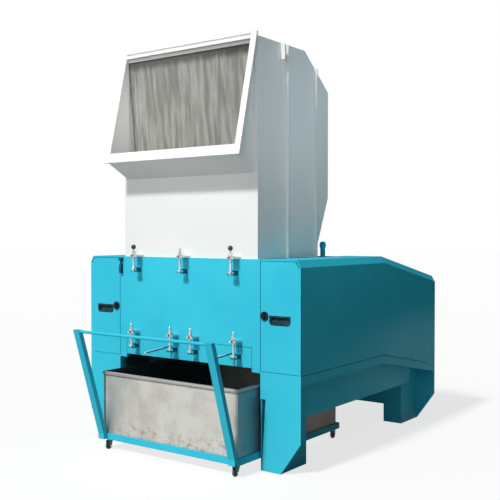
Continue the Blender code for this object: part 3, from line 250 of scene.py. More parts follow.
class Paint:
    # keeps a material's nodes short to write

    def __init__(self, name):
        self.material = bpy.data.materials.new(name)
        self.material.use_nodes = True
        self.tree = self.material.node_tree
        self.shader = self.tree.nodes["Principled BSDF"]
        self.place = self.add("ShaderNodeTexCoord").outputs["Object"]

    def add(self, kind, **settings):
        node = self.tree.nodes.new(kind)
        for key, value in settings.items():
            setattr(node, key, value)
        return node

    def put(self, value, socket):
        if isinstance(value, tuple):
            socket.default_value = value if len(value) == len(socket.default_value) else (*value, 1.0)
        elif isinstance(value, (int, float)):
            socket.default_value = value
        else:
            self.tree.links.new(value, socket)

    def stretched(self, scale):
        node = self.add("ShaderNodeMapping")
        node.inputs["Scale"].default_value = scale
        self.put(self.place, node.inputs["Vector"])
        return node.outputs[0]

    def noise(self, scale, detail=4.0, rough=0.55, vector=None):
        node = self.add("ShaderNodeTexNoise")
        node.inputs["Scale"].default_value = scale
        node.inputs["Detail"].default_value = detail
        node.inputs["Roughness"].default_value = rough
        self.put(self.place if vector is None else vector, node.inputs["Vector"])
        return node.outputs["Fac"]

    def ramp(self, value, low, high, toLow=0.0, toHigh=1.0):
        node = self.add("ShaderNodeMapRange", interpolation_type="SMOOTHSTEP")
        node.inputs["From Min"].default_value = low
        node.inputs["From Max"].default_value = high
        node.inputs["To Min"].default_value = toLow
        node.inputs["To Max"].default_value = toHigh
        self.put(value, node.inputs["Value"])
        return node.outputs[0]

    def math(self, kind, first, second):
        node = self.add("ShaderNodeMath", operation=kind)
        self.put(first, node.inputs[0])
        self.put(second, node.inputs[1])
        return node.outputs[0]

    def plus(self, first, second):
        return self.math("ADD", first, second)

    def minus(self, first, second):
        return self.math("SUBTRACT", first, second)

    def times(self, first, second):
        return self.math("MULTIPLY", first, second)

    def below(self, value, limit):
        return self.math("LESS_THAN", value, limit)

    def above(self, value, limit):
        return self.math("GREATER_THAN", value, limit)

    def unsigned(self, value):
        return self.math("ABSOLUTE", value, 0.0)

    def mix(self, share, first, second):
        node = self.add("ShaderNodeMix", data_type="RGBA")
        self.put(share, node.inputs[0])
        self.put(first, node.inputs[6])
        self.put(second, node.inputs[7])
        return node.outputs[2]

    def blend(self, share, first, second):
        node = self.add("ShaderNodeMix", data_type="FLOAT")
        self.put(share, node.inputs[0])
        self.put(first, node.inputs[2])
        self.put(second, node.inputs[3])
        return node.outputs[0]

    def axis(self, letter, vector=None):
        node = self.add("ShaderNodeSeparateXYZ")
        self.put(self.place if vector is None else vector, node.inputs[0])
        return node.outputs[letter]

    def facing(self, letter):
        return self.axis(letter, self.add("ShaderNodeNewGeometry").outputs["Normal"])

    def edges(self, radius=0.004, low=0.02, high=0.25):
        # 1 along the outer edges, 0 on the flats
        bevel = self.add("ShaderNodeBevel", samples=4)
        bevel.inputs["Radius"].default_value = radius
        flat = self.add("ShaderNodeNewGeometry").outputs["Normal"]
        dot = self.add("ShaderNodeVectorMath", operation="DOT_PRODUCT")
        self.put(bevel.outputs[0], dot.inputs[0])
        self.put(flat, dot.inputs[1])
        return self.ramp(self.minus(1.0, dot.outputs["Value"]), low, high)

    def bump(self, height, strength, distance=0.001):
        node = self.add("ShaderNodeBump")
        node.inputs["Strength"].default_value = strength
        node.inputs["Distance"].default_value = distance
        self.put(height, node.inputs["Height"])
        self.put(node.outputs[0], self.shader.inputs["Normal"])

    def finish(self, colour, roughness, metallic=0.0, specular=0.5):
        self.put(colour, self.shader.inputs["Base Color"])
        self.put(roughness, self.shader.inputs["Roughness"])
        self.put(metallic, self.shader.inputs["Metallic"])
        self.put(specular, self.shader.inputs["Specular IOR Level"])
        return self.material


turquoiseLook = {
    "colour": (0.042, 0.555, 0.735),
    "faded": (0.052, 0.585, 0.75),
    "deep": (0.034, 0.50, 0.685),
    "dustAndBounce": (0.30, 0.42, 0.43),
    "chip": (0.020, 0.22, 0.30),
    "floorBounce": 0.10,
    "roughness": (0.33, 0.45),
    "specular": 0.06,
}

whiteLook = {
    "colour": (0.80, 0.805, 0.785),
    "faded": (0.83, 0.835, 0.81),
    "deep": (0.76, 0.77, 0.765),
    "dustAndBounce": (0.58, 0.565, 0.52),
    "chip": (0.50, 0.49, 0.46),
    "floorBounce": 0.0,
    "roughness": (0.36, 0.50),
    "specular": 0.2,
}

steelLook = {
    "colour": (0.68, 0.66, 0.63),
    "dull": (0.50, 0.47, 0.43),
    "roughness": (0.24, 0.44),
    "metallic": 0.85,
}

# from where to where each kind of dust and the painted floor bounce set in, in metres
dustAndBounceReach = {
    "specks": (0.45, 0.0),
    "floorBounce": (1.05, 0.55),
    "floorBounceFoot": (0.42, 0.50),
    "floorBounceBack": (-0.7, 0.9),
}


def enamelDustAndBounce(paint, look, cloudy, top, flank, lowRear):
    # thin runs, specks low down, a coat on what faces up, and painted floor bounce that makes the sides
    # paler low down at the rear
    runs = paint.noise(1.0, 6, 0.6, paint.stretched((14.0, 14.0, 0.9)))
    dustAndBounce = paint.times(paint.ramp(runs, 0.52, 0.80, 0.0, 0.14), paint.ramp(cloudy, 0.35, 0.7))
    low = paint.ramp(paint.axis("Z"), *dustAndBounceReach["specks"], 0.0, 0.20)
    dustAndBounce = paint.plus(dustAndBounce, paint.times(low, paint.ramp(paint.noise(70.0, 3, 0.7), 0.55, 0.75)))
    dustAndBounce = paint.plus(dustAndBounce, paint.times(top, paint.ramp(cloudy, 0.3, 0.7, 0.02, 0.10)))
    # painted floor bounce: the flanks paler low down towards the rear, in the dust's colour
    floorBounce = paint.times(paint.times(flank, lowRear), look["floorBounce"])
    floorBounce = paint.times(floorBounce, paint.ramp(paint.axis("Z"), *dustAndBounceReach["floorBounceFoot"]))
    return paint.plus(dustAndBounce, floorBounce)


def insideBox(paint, box):
    within = paint.below(paint.unsigned(paint.axis("X")), box["half"])
    within = paint.times(within, paint.ramp(paint.axis("Y"), box["front"], box["front"] + box["fade"]))
    within = paint.times(within, paint.below(paint.axis("Y"), box["back"]))
    within = paint.times(within, paint.above(paint.axis("Z"), box["bottom"]))
    return paint.times(within, paint.below(paint.axis("Z"), box["top"]))


def enamel(name, look, bare=None, insideShade=None, rods=None, earShade=None):
    # sprayed enamel: slow tone changes, fine peel, thin dust, painted floor bounce and light wear
    # bare leaves the lugs in front of and below a line as steel, the walls inside a box get painted shade,
    # rods makes the thin rods paler, and the sides of the clamps' ears get painted shade
    paint = Paint(name)
    cloudy = paint.noise(9.0, 5, 0.6)
    top = paint.ramp(paint.facing("Z"), 0.55, 0.9)
    flank = paint.ramp(paint.unsigned(paint.facing("X")), 0.6, 0.9)
    lowRear = paint.ramp(paint.axis("Z"), *dustAndBounceReach["floorBounce"])
    lowRear = paint.times(lowRear, paint.ramp(paint.axis("Y"), *dustAndBounceReach["floorBounceBack"], 0.25, 1.0))
    tone = paint.mix(paint.ramp(paint.noise(1.6, 3), 0.35, 0.65), look["deep"], look["faded"])
    tone = paint.mix(0.5, tone, look["colour"])
    # dust, together with the painted floor bounce on the low rear sides
    dustAndBounce = enamelDustAndBounce(paint, look, cloudy, top, flank, lowRear)
    tone = paint.mix(dustAndBounce, tone, look["dustAndBounce"])
    worn = paint.times(paint.edges(0.003), paint.ramp(paint.noise(45.0, 4, 0.7), 0.50, 0.64))
    tone = paint.mix(paint.times(worn, 0.45), tone, look["chip"])
    # painted shade: the walls inside the machine darkened as though unlit
    if insideShade:
        tone = paint.mix(paint.times(insideBox(paint, insideShade), insideShade["share"]), tone, insideShade["tone"])
    if rods:
        tone = paint.mix(paint.below(paint.axis("Y"), rods["ahead"]), tone, rods["tone"])
    # painted shade on the side faces of the clamp ears
    if earShade:
        side = paint.times(paint.below(paint.axis("Y"), earShade["ahead"]), flank)
        tone = paint.mix(side, tone, earShade["tone"])
    rough = paint.plus(paint.ramp(cloudy, 0.3, 0.7, *look["roughness"]), paint.times(dustAndBounce, 0.8))
    rough = paint.plus(rough, paint.times(top, 0.25))
    dull = paint.math("MAXIMUM", top, paint.times(flank, paint.minus(1.0, lowRear)))
    specular = paint.ramp(dull, 0.0, 1.0, look["specular"], 0.0)
    metal = 0.0
    if bare:
        lug = paint.below(paint.axis("Y"), bare["ahead"])
        lug = paint.times(lug, paint.below(paint.axis("Z"), bare["below"]))
        blotch = paint.ramp(paint.noise(60.0, 4), 0.4, 0.7)
        tone = paint.mix(lug, tone, paint.mix(blotch, steelLook["colour"], steelLook["dull"]))
        rough = paint.blend(lug, rough, paint.ramp(blotch, 0.0, 1.0, *steelLook["roughness"]))
        metal = paint.times(lug, steelLook["metallic"])
        specular = paint.blend(lug, specular, 0.5)
    waves = paint.times(paint.noise(2.2, 2, 0.4), 6.0)
    paint.bump(paint.plus(paint.noise(260.0, 2, 0.5), waves), 0.10, 0.0006)
    return paint.finish(tone, rough, metal, specular)


def plated(name, look):
    paint = Paint(name)
    blotch = paint.noise(60.0, 4)
    tone = paint.mix(paint.ramp(blotch, 0.4, 0.7), look["colour"], look["dull"])
    paint.bump(paint.noise(420.0, 3), 0.15, 0.0003)
    return paint.finish(tone, paint.ramp(blotch, 0.3, 0.7, *look["roughness"]), 1.0)


binLook = {
    "clean": (0.64, 0.63, 0.59),
    "cloudy": (0.52, 0.50, 0.46),
    "stain": (0.38, 0.35, 0.30),
    "rust": (0.30, 0.19, 0.11),
    # the inside: dark dust and painted shade; its side walls get painted light in a brownish tone
    "inside": (0.10, 0.094, 0.090),
    "insideDust": (0.18, 0.165, 0.150),
    # the outer sides: a painted teal reflection with painted shade, darker painted shade further back
    "flank": (0.088, 0.26, 0.30),
    "farFlank": (0.050, 0.038, 0.036),
    # dark tone for the painted shade under the rim, along the corners and on the rim; the teal one is
    # painted shade with a painted reflection, for the left end
    "edge": (0.075, 0.066, 0.060),
    "nearEdge": (0.020, 0.075, 0.090),
    "insideFlank": (0.30, 0.25, 0.21),
    "wall": 0.014,
    "rim": 0.024,
    "floor": 0.002,
    # from where to where each look sets in, in metres from the bin's foot, front, rim or side
    "rustUp": (0.16, 0.02),
    "farBack": (0.35, 0.75),
    "underRim": (0.012, 0.002),
    "corner": (0.030, 0.020),
    "nearEnd": (0.034, 0.022),
}


def binPlace(paint):
    # the bin's own place, which goes along when the cart rolls
    own = paint.add("ShaderNodeMapping")
    own.inputs["Scale"].default_value = tuple(high - low for low, high in zip(binLow, binHigh))
    own.inputs["Location"].default_value = tuple(binLow)
    paint.put(paint.add("ShaderNodeTexCoord").outputs["Generated"], own.inputs["Vector"])
    return own.outputs[0]


def fromMiddle(paint, letter):
    index = "XYZ".index(letter)
    return paint.unsigned(paint.minus(paint.axis(letter), (binLow[index] + binHigh[index]) / 2))


def binShadeLines(paint, tone, height, rimFoot):
    # painted shade: a shadow line under the rim, darker bands along the corners, and teal shade with a
    # painted reflection at the left side; the rim is darkened too
    start, end = binLook["underRim"]
    line = paint.ramp(height, rimFoot - start, rimFoot - end)
    line = paint.times(line, paint.below(height, rimFoot))
    tone = paint.mix(paint.times(line, 0.8), tone, binLook["edge"])
    halfWidth = (binHigh[0] - binLow[0]) / 2
    start, end = binLook["corner"]
    band = paint.ramp(fromMiddle(paint, "X"), halfWidth - start, halfWidth - end)
    tone = paint.mix(paint.times(band, 0.35), tone, binLook["edge"])
    start, end = binLook["nearEnd"]
    nearEnd = paint.ramp(paint.axis("X"), binLow[0] + start, binLow[0] + end)
    tone = paint.mix(paint.times(nearEnd, 0.8), tone, binLook["nearEdge"])
    rim = paint.above(height, rimFoot)
    return paint.mix(paint.times(rim, 0.35), tone, binLook["edge"])


def stainedSheetWithShade():
    # stainless sheet: brushing, cloudy stains, rusty foot, painted teal reflection and shade on the sides,
    # painted shade lines, and a dark inside that is partly dust and partly painted shade, with painted
    # light on its side walls
    paint = Paint("stainedStainlessWithShade")
    paint.place = binPlace(paint)
    height = paint.axis("Z")
    rimFoot = binHigh[2] - binLook["rim"]
    cloud = paint.noise(4.5, 6, 0.62)
    blot = paint.noise(17.0, 5, 0.65)
    tone = paint.mix(paint.ramp(cloud, 0.38, 0.66), binLook["clean"], binLook["cloudy"])
    tone = paint.mix(paint.ramp(blot, 0.56, 0.74, 0.0, 0.45), tone, binLook["stain"])
    start, end = binLook["rustUp"]
    foot = paint.ramp(height, binLow[2] + start, binLow[2] + end)
    rust = paint.times(foot, paint.ramp(paint.noise(26.0, 6, 0.7), 0.50, 0.66))
    tone = paint.mix(paint.times(rust, 0.75), tone, binLook["rust"])
    # painted reflection and shade on the outer sides: teal near the front, dark further back
    flank = paint.ramp(paint.unsigned(paint.facing("X")), 0.5, 0.9)
    flank = paint.times(flank, paint.below(height, rimFoot))
    start, end = binLook["farBack"]
    far = paint.ramp(paint.axis("Y"), binLow[1] + start, binLow[1] + end)
    share = paint.times(flank, paint.ramp(far, 0.0, 1.0, 0.8, 0.97))
    tone = paint.mix(share, tone, paint.mix(far, binLook["flank"], binLook["farFlank"]))
    tone = binShadeLines(paint, tone, height, rimFoot)
    within = paint.above(height, binLow[2] + binLook["floor"])
    within = paint.times(within, paint.below(height, rimFoot))
    for index, letter in enumerate("XY"):
        halfInside = (binHigh[index] - binLow[index]) / 2 - binLook["wall"]
        within = paint.times(within, paint.below(fromMiddle(paint, letter), halfInside))
    # the inside: dark dust and painted shade, with painted light on its side walls
    inside = paint.mix(paint.ramp(blot, 0.4, 0.7), binLook["inside"], binLook["insideDust"])
    tone = paint.mix(within, tone, paint.mix(flank, inside, binLook["insideFlank"]))
    metal = paint.minus(paint.minus(0.9, paint.times(within, 0.85)), paint.times(rust, 0.5))
    rough = paint.plus(paint.ramp(cloud, 0.3, 0.7, 0.36, 0.54), paint.times(within, 0.3))
    grain = paint.noise(1.0, 3, 0.6, paint.stretched((900.0, 900.0, 9.0)))
    paint.bump(paint.plus(grain, paint.times(cloud, 2.0)), 0.12, 0.0006)
    paint.shader.inputs["Anisotropic"].default_value = 0.4
    return paint.finish(tone, rough, metal)


def plainDark(name, colour, roughness, metallic=0.0, specular=0.5):
    # dark paint, plastic or rubber: a little cloudy, and paler along worn edges
    paint = Paint(name)
    cloudy = paint.noise(30.0, 4)
    lighter = tuple(1.7 * part + 0.01 for part in colour)
    worn = tuple(2.2 * part + 0.03 for part in colour)
    tone = paint.mix(paint.ramp(cloudy, 0.35, 0.7), colour, lighter)
    tone = paint.mix(paint.times(paint.edges(0.002), 0.3), tone, worn)
    paint.bump(paint.noise(300.0, 3), 0.12, 0.0004)
    rough = paint.ramp(cloudy, 0.3, 0.7, roughness - 0.06, roughness + 0.08)
    return paint.finish(tone, rough, metallic, specular)


curtainLook = {
    "colour": (0.255, 0.255, 0.232),
    "pale": (0.43, 0.43, 0.395),
    "dusty": (0.135, 0.135, 0.120),
    "dark": (0.085, 0.082, 0.072),
    "black": (0.040, 0.038, 0.032),
    "darkBand": (0.035, 0.055),  # how far the painted shadow reaches down from the rail, least and most
    "bandEdge": (-0.035, 0.02),  # where it sets in, from below to above that line
    "blackening": (0.0, 0.45),  # where the painted shadow turns from dark to black, from the middle to the right
}


def dustyStripWithShadow():
    # soft clear plastic gone grey: upright streaks, paler bands that partly stand in for painted
    # highlights, and a painted shadow at the top under the rail
    paint = Paint("dustyStripWithShadow")
    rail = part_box("strip_curtain")[1][2]
    streaks = paint.noise(1.0, 3, 0.5, paint.stretched((32.0, 32.0, 0.9)))
    fine = paint.noise(1.0, 4, 0.6, paint.stretched((160.0, 160.0, 3.0)))
    blots = paint.noise(7.0, 4, 0.6)
    # dusty and pale upright streaks; the pale ones are partly painted highlights on the folds
    tone = paint.mix(paint.ramp(streaks, 0.34, 0.64), curtainLook["dusty"], curtainLook["pale"])
    tone = paint.mix(paint.ramp(fine, 0.3, 0.7, 0.35, 0.75), tone, curtainLook["colour"])
    # painted shadow just under the rail, with a ragged lower edge
    ragged = paint.noise(1.0, 3, 0.6, paint.stretched((22.0, 22.0, 1.5)))
    reach = paint.ramp(ragged, 0.3, 0.7, *curtainLook["darkBand"])
    start, end = curtainLook["bandEdge"]
    top = paint.ramp(paint.plus(paint.axis("Z"), reach), rail + start, rail + end)
    blackening = paint.ramp(paint.axis("X"), *curtainLook["blackening"])
    railShadow = paint.mix(blackening, curtainLook["dark"], curtainLook["black"])
    tone = paint.mix(paint.times(top, 0.9), tone, railShadow)
    tone = paint.mix(paint.times(paint.ramp(blots, 0.60, 0.72), 0.35), tone, curtainLook["dusty"])
    paint.bump(paint.plus(streaks, fine), 0.2, 0.001)
    return paint.finish(tone, paint.ramp(blots, 0.3, 0.7, 0.42, 0.6), 0.0, 0.3)


# painted shade for the machine's inner walls, where they stand unlit
innerWallShade = {
    "half": 0.625,
    "front": baseFront + 0.02,
    "back": baseFront + 1.3,
    "bottom": 0.14,
    "top": 0.64,
    "fade": 0.06,
    "tone": (0.012, 0.014, 0.015),
    "share": 0.86,
}
# painted shade on the sides of the clamp ears, and of the flap's rods
clampEarShade = {"ahead": baseFront - 0.004, "tone": (0.006, 0.15, 0.21)}
flapRods = {"ahead": baseFront - 0.086, "tone": (0.45, 0.78, 0.86)}
panelLugs = {"ahead": baseFront - 0.001, "below": 0.90}
hopperLugs = {"ahead": baseFront + 0.018, "below": 1.45}

panelPaint = enamel("panelEnamel", turquoiseLook, bare=panelLugs, earShade=clampEarShade)
flapPaint = enamel("flapEnamel", turquoiseLook, rods=flapRods, earShade=clampEarShade)
hopperPaint = enamel("hopperEnamel", whiteLook, bare=hopperLugs)
steel = plated("platedSteel", steelLook)
stripPlastic = dustyStripWithShadow()
blackPlastic = plainDark("blackPlastic", (0.004, 0.009, 0.016), 0.42, specular=0.15)
cupPlastic = plainDark("cupPlastic", (0.006, 0.030, 0.038), 0.50, specular=0.15)
knobPlastic = plainDark("knobPlastic", (0.018, 0.018, 0.020), 0.35, specular=0.4)
casterSteel = plainDark("casterSteel", (0.040, 0.095, 0.088), 0.45, metallic=0.3)
rubber = plainDark("wheelRubber", (0.032, 0.058, 0.056), 0.62)

finishes = {
    "turquoise_paint": enamel("turquoiseEnamel", turquoiseLook, insideShade=innerWallShade),
    "white_paint": enamel("whiteEnamel", whiteLook),
    "stainless_sheet": stainedSheetWithShade(),
    "plated_steel": steel,
    "dark_steel": plainDark("darkSteel", (0.006, 0.065, 0.095), 0.50, specular=0.15),
    "black_plastic": blackPlastic,
    "wheel_rubber": rubber,
    "strip_plastic": stripPlastic,
}
slotOf = {row["node"]: row["material_slot"] for row in frame["record"]["subparts"]}
for nodeName, node in frame["nodes"].items():
    node.data.materials.clear()
    node.data.materials.append(finishes[slotOf[nodeName]])
frame["nodes"]["front_panel"].data.materials[0] = panelPaint
frame["nodes"]["hopper_front_wall"].data.materials[0] = hopperPaint
frame["nodes"]["screen_flap"].data.materials[0] = flapPaint
print("materials are made")

# small pressed edges on the CAD's own pieces

edgeWidths = {
    0.0015: [
        "front_left_caster", "front_right_caster", "rear_left_caster", "rear_right_caster",
        "left_door", "right_door", "left_skirt", "right_skirt", "screen_flap", "left_door_lock",
        "right_door_lock", "hopper_front_wall", "front_panel", "deck_plate",
    ],
    0.003: [
        "front_left_leg", "front_right_leg", "rear_left_leg", "rear_right_leg", "cart_frame",
        "cart_handle", "mouth_frame", "rear_cross_plate",
    ],
}
for width, names in edgeWidths.items():
    for nodeName in names:
        soft = frame["nodes"][nodeName].modifiers.new("pressedEdge", "BEVEL")
        soft.width = width
        soft.segments = 2
        soft.limit_method = "ANGLE"
        soft.angle_limit = math.radians(50)
print("edges are softened")

# mesh helpers


def makePiece(name, shape, material, body, smoothBelow=38):
    bmesh.ops.recalc_face_normals(shape, faces=shape.faces)
    data = bpy.data.meshes.new(name)
    shape.to_mesh(data)
    shape.free()
    data.materials.append(material)
    data.shade_smooth()
    data.set_sharp_from_angle(angle=math.radians(smoothBelow))
    made = addToScene(name, data)
    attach(made, body)
    return made


def turn(shape, profile, steps, place, closed=False, phase=0.0):
    # a profile of (radius, height) turned about local Z; an open one is capped at both ends
    rings = []
    for radius, height in profile:
        ring = []
        for step in range(steps):
            angle = 2 * math.pi * step / steps + phase
            spot = Vector((radius * math.cos(angle), radius * math.sin(angle), height))
            ring.append(shape.verts.new(place @ spot))
        rings.append(ring)
    pairs = list(zip(rings, rings[1:]))
    if closed:
        pairs.append((rings[-1], rings[0]))
    for lower, upper in pairs:
        for step in range(steps):
            after = (step + 1) % steps
            shape.faces.new((lower[step], lower[after], upper[after], upper[step]))
    if not closed:
        shape.faces.new(rings[0][::-1])
        shape.faces.new(rings[-1])


def upright(x, y, z):
    return Matrix.Translation((x, y, z))


def sideways(x, y, z):
    return Matrix.Translation((x, y, z)) @ Matrix.Rotation(math.pi / 2, 4, "Y")


def collar(bore, radius, low, high, edge):
    # section of a ring with its outer edges cut off
    lower = [(bore, low), (radius - edge, low), (radius, low + edge)]
    return lower + [(radius, high - edge), (radius - edge, high), (bore, high)]


def mirrored(section):
    return section + [(radius, -along) for radius, along in reversed(section)]


def middleOf(name):
    low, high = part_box(name)
    return [(low[index] + high[index]) / 2 for index in range(3)]


# swing bolts: eye, threaded shank, washer, nut and knob

swingBolt = {
    "eyeRadius": 0.015,
    "eyeHalf": 0.010,
    "eyeEdge": 0.002,
    "bore": 0.0068,
    "neck": [(0.0089, 0.01125), (0.0074, 0.019)],  # radius and height where the shank leaves the eye
    "shank": 0.0074,
    "root": 0.0066,
    "tip": 0.0056,
    "pitch": 0.002,
    "threadFrom": 0.060,
    "washerAt": 0.1048,
    "washerRadius": 0.017,
    "washerHeight": 0.004,
    "washerEdge": 0.0006,
    "nutHeight": 0.020,
    "nutRadius": 0.0141,
    "nutEnd": 0.86,  # share of the radius at the nut's end faces
    "nutEdge": 0.0018,
    "knobRadius": 0.017,
    "pinHeadAt": 0.0195,  # from the bolt's middle to the outside of an ear
    "pinHead": [(0.0095, 0.0), (0.0095, 0.003), (0.0076, 0.005), (0.002, 0.0056)],
}


def shankProfile(length):
    # plain near the eye, then threaded up to its end
    height = swingBolt["threadFrom"]
    pitch = swingBolt["pitch"]
    profile = swingBolt["neck"] + [(swingBolt["shank"], height)]
    while height + pitch < length - 0.002:
        profile.append((swingBolt["root"], height + 0.25 * pitch))
        profile.append((swingBolt["shank"], height + 0.75 * pitch))
        height += pitch
    return profile + [(swingBolt["tip"], length)]


def dressBolt(name, body, knob):
    low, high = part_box(name)
    x, y, z = (low[0] + high[0]) / 2, (low[1] + high[1]) / 2, low[2] + swingBolt["eyeRadius"]
    length = high[2] - z
    if knob:
        length -= swingBolt["knobRadius"]
    half = swingBolt["eyeHalf"]
    washerAt, washerRadius = swingBolt["washerAt"], swingBolt["washerRadius"]
    washerTop = washerAt + swingBolt["washerHeight"]
    eye = collar(swingBolt["bore"], swingBolt["eyeRadius"], -half, half, swingBolt["eyeEdge"])
    washer = collar(swingBolt["root"], washerRadius, washerAt, washerTop, swingBolt["washerEdge"])
    rod = bmesh.new()
    turn(rod, eye, 32, sideways(x, y, z), closed=True)
    turn(rod, shankProfile(length), 20, upright(x, y, z))
    turn(rod, washer, 28, upright(x, y, z), closed=True)
    makePiece(name + "_rod", rod, steel, body)

    nut = bmesh.new()
    radius, edge = swingBolt["nutRadius"], swingBolt["nutEdge"]
    nutTop = washerTop + swingBolt["nutHeight"]
    sides = [(radius * swingBolt["nutEnd"], washerTop), (radius, washerTop + edge)]
    sides += [(radius, nutTop - edge), (radius * swingBolt["nutEnd"], nutTop)]
    turn(nut, sides, 6, upright(x, y, z), phase=random.uniform(0.0, 1.0))
    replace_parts(makePiece(name + "_nut", nut, steel, body, 20), name)

    if knob:
        ball = bmesh.new()
        bmesh.ops.create_uvsphere(ball, u_segments=32, v_segments=18, radius=swingBolt["knobRadius"])
        bmesh.ops.translate(ball, verts=ball.verts, vec=(x, y, high[2] - swingBolt["knobRadius"]))
        makePiece(name + "_knob", ball, knobPlastic, body, 80)

    heads = bmesh.new()
    for side in (-1, 1):
        head = [(radius, side * (swingBolt["pinHeadAt"] + along)) for radius, along in swingBolt["pinHead"]]
        turn(heads, head, 18, sideways(x, y, z))
    makePiece(name + "_pin_heads", heads, steel, "machine")


bolts = {
    "upper_left_bolt": ("upper_left_clamp", True),
    "upper_middle_bolt": ("upper_middle_clamp", False),
    "upper_right_bolt": ("upper_right_clamp", True),
    "lower_far_left_bolt": ("lower_far_left_clamp", False),
    "lower_near_left_bolt": ("lower_near_left_clamp", False),
    "lower_near_right_bolt": ("lower_near_right_clamp", False),
    "lower_far_right_bolt": ("lower_far_right_clamp", False),
}
for boltName, (boltBody, hasKnob) in bolts.items():
    dressBolt(boltName, boltBody, hasKnob)
print("swing bolts are dressed")

# strip curtain: loose overlapping strips that hang from the rail

curtain = {
    "count": 13,
    "width": 0.100,
    "thickness": 0.002,
    "slabDepth": 0.030,
    "rows": 26,
    "columns": 16,
    "sideGap": 0.002,
    "margin": 0.008,
    "shingle": 0.0045,  # each strip leans back to the right, behind the next one
    "curl": 0.0012,
    "sway": 0.0015,
    "wave": 0.0011,
    "ripples": (2.2, 3.4),
    "shorter": 0.012,
}


def stripShape(left, front, top, length, slope, bend):
    # a front and a back sheet, joined along their edges
    rows, columns = curtain["rows"], curtain["columns"]
    shape = bmesh.new()
    spots = {}
    for side in (0, 1):
        for row in range(rows + 1):
            for column in range(columns + 1):
                across = column / columns
                down = row / rows
                inner = 1 - (2 * across - 1) ** 2
                bow = bend["curl"] * inner * (0.3 + 0.7 * down)
                angle = 2 * math.pi * bend["ripple"] * across + bend["phase"] + 1.5 * down
                wave = curtain["wave"] * math.sin(angle) * inner
                z = top - length * down
                y = front + slope * (top - z) + curtain["margin"] + curtain["shingle"] * across + bow + wave
                x = left + curtain["width"] * across + bend["sway"] * down
                spots[side, row, column] = shape.verts.new((x, y + side * curtain["thickness"], z))
    for row in range(rows):
        for column in range(columns):
            corners = [(row, column), (row, column + 1), (row + 1, column + 1), (row + 1, column)]
            for side in (0, 1):
                shape.faces.new([spots[side, *corner] for corner in corners])
    edge = [(row, 0) for row in range(rows + 1)]
    edge += [(rows, column) for column in range(1, columns + 1)]
    edge += [(row, columns) for row in range(rows - 1, -1, -1)]
    edge += [(0, column) for column in range(columns - 1, 0, -1)]
    for first, second in zip(edge, edge[1:] + edge[:1]):
        shape.faces.new([spots[0, *first], spots[0, *second], spots[1, *second], spots[1, *first]])
    return shape


def buildCurtain():
    low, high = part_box("strip_curtain")
    last = curtain["count"] - 1
    slope = (high[1] - low[1] - curtain["slabDepth"]) / (high[2] - low[2])
    pitch = (high[0] - low[0] - curtain["width"] - 2 * curtain["sideGap"]) / last
    for number in range(curtain["count"]):
        bend = {
            "curl": random.uniform(-curtain["curl"], curtain["curl"]),
            "sway": random.uniform(-curtain["sway"], curtain["sway"]) if 0 < number < last else 0.0,
            "phase": random.uniform(0, 6),
            "ripple": random.uniform(*curtain["ripples"]),
        }
        length = high[2] - low[2] - random.uniform(0.0, curtain["shorter"])
        left = low[0] + curtain["sideGap"] + number * pitch
        shape = stripShape(left, low[1], high[2], length, slope, bend)
        strip = makePiece(f"curtain_strip_{number + 1:02d}", shape, stripPlastic, "machine", 60)
        if number == 0:
            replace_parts(strip, "strip_curtain")


buildCurtain()
print("strip curtain hangs")

# casters and wheels

wheel = {
    # half sections as (radius, distance from the wheel's middle)
    "tyre": [(0.016, -0.007), (0.021, -0.008), (0.0248, -0.0072), (0.0265, -0.005), (0.027, -0.0025)],
    "core": [(0.0045, 0.0098), (0.009, 0.0098), (0.010, 0.0088), (0.0115, 0.004), (0.0162, 0.0065)],
}

wheelBodies = {
    "front_left_wheel": "front_left_roller",
    "front_right_wheel": "front_right_roller",
    "rear_left_wheel": "rear_left_roller",
    "rear_right_wheel": "rear_right_roller",
}

caster = {
    "forkHalf": 0.0175,
    "axleNut": [(0.0062, 0.0), (0.0070, 0.0006), (0.0070, 0.0026), (0.0060, 0.0032)],
}

casterBodies = {
    "front_left_caster": "front_left_swivel",
    "front_right_caster": "front_right_swivel",
    "rear_left_caster": "cart",
    "rear_right_caster": "cart",
}


def dressWheel(name, body):
    place = sideways(*middleOf(name))
    tyre = bmesh.new()
    turn(tyre, mirrored(wheel["tyre"]), 48, place, closed=True)
    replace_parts(makePiece(name + "_tyre", tyre, rubber, body, 50), name)
    core = bmesh.new()
    turn(core, mirrored(wheel["core"]), 36, place, closed=True)
    makePiece(name + "_core", core, blackPlastic, body)


def dressCaster(name, body):
    frame["nodes"][name].data.materials[0] = casterSteel
    x, y, z = middleOf(name.replace("caster", "wheel"))
    ends = bmesh.new()
    for side in (-1, 1):
        nut = [(radius, side * along) for radius, along in caster["axleNut"]]
        turn(ends, nut, 6, sideways(x + side * caster["forkHalf"], y, z))
    makePiece(name + "_axle_nuts", ends, steel, body, 20)


for wheelName, wheelBody in wheelBodies.items():
    dressWheel(wheelName, wheelBody)
for casterName, casterBody in casterBodies.items():
    dressCaster(casterName, casterBody)
print("casters are dressed")

# door pulls: flush cups with a rounded rim

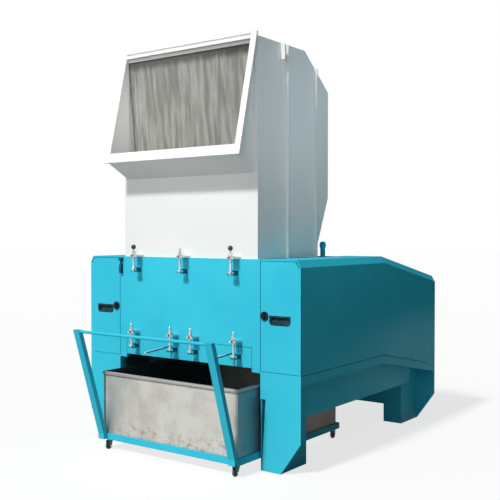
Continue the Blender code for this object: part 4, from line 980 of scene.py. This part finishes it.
pull = {
    "rim": 0.003,
    # section of the rim from the outside in: how far in, and how far behind the door's face
    "section": [
        (0.0, -0.0012),
        (0.0012, -0.0026),
        (0.0030, -0.0030),
        (0.0085, -0.0030),
        (0.011, -0.0018),
        (0.012, 0.002),
    ],
    "floorInset": 0.014,
    "depthTop": 0.023,  # deep at the top, where the fingers go
    "depthFoot": 0.007,
    "corner": 0.024,
    "topCorner": 0.004,
}


def roundedOutline(halfWidth, halfHeight, lowRadius, topRadius, steps=8):
    points = []
    corners = [
        (halfWidth - lowRadius, lowRadius - halfHeight, lowRadius, -90),
        (halfWidth - topRadius, halfHeight - topRadius, topRadius, 0),
        (topRadius - halfWidth, halfHeight - topRadius, topRadius, 90),
        (lowRadius - halfWidth, lowRadius - halfHeight, lowRadius, 180),
    ]
    for across, up, radius, start in corners:
        for step in range(steps + 1):
            angle = math.radians(start + 90 * step / steps)
            points.append((across + radius * math.cos(angle), up + radius * math.sin(angle)))
    return points


def cupDepth(share):
    return pull["depthFoot"] + (pull["depthTop"] - pull["depthFoot"]) * share


def dressPull(name, body):
    low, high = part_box(name)
    centreX, centreZ = (low[0] + high[0]) / 2, (low[2] + high[2]) / 2
    halfWidth, halfHeight = (high[0] - low[0]) / 2, (high[2] - low[2]) / 2
    face = low[1] + pull["rim"]
    loops = [(0.0, high[1] - face)] + pull["section"] + [(pull["floorInset"], None)]
    shape = bmesh.new()
    rings = []
    for inset, behind in loops:
        corner = max(pull["corner"] - inset, pull["topCorner"])
        outline = roundedOutline(halfWidth - inset, halfHeight - inset, corner, pull["topCorner"])
        ring = []
        for across, rise in outline:
            depth = cupDepth((rise + halfHeight) / (2 * halfHeight)) if behind is None else behind
            ring.append(shape.verts.new((centreX + across, face + depth, centreZ + rise)))
        rings.append(ring)
    for outer, inner in zip(rings, rings[1:]):
        for first in range(len(outer)):
            second = (first + 1) % len(outer)
            shape.faces.new((outer[first], outer[second], inner[second], inner[first]))
    shape.faces.new(rings[0])
    shape.faces.new(rings[-1])
    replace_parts(makePiece(name + "_cup", shape, cupPlastic, body, 30), name)


dressPull("left_door_pull", "left_door_body")
dressPull("right_door_pull", "right_door_body")
print("door pulls are dressed")
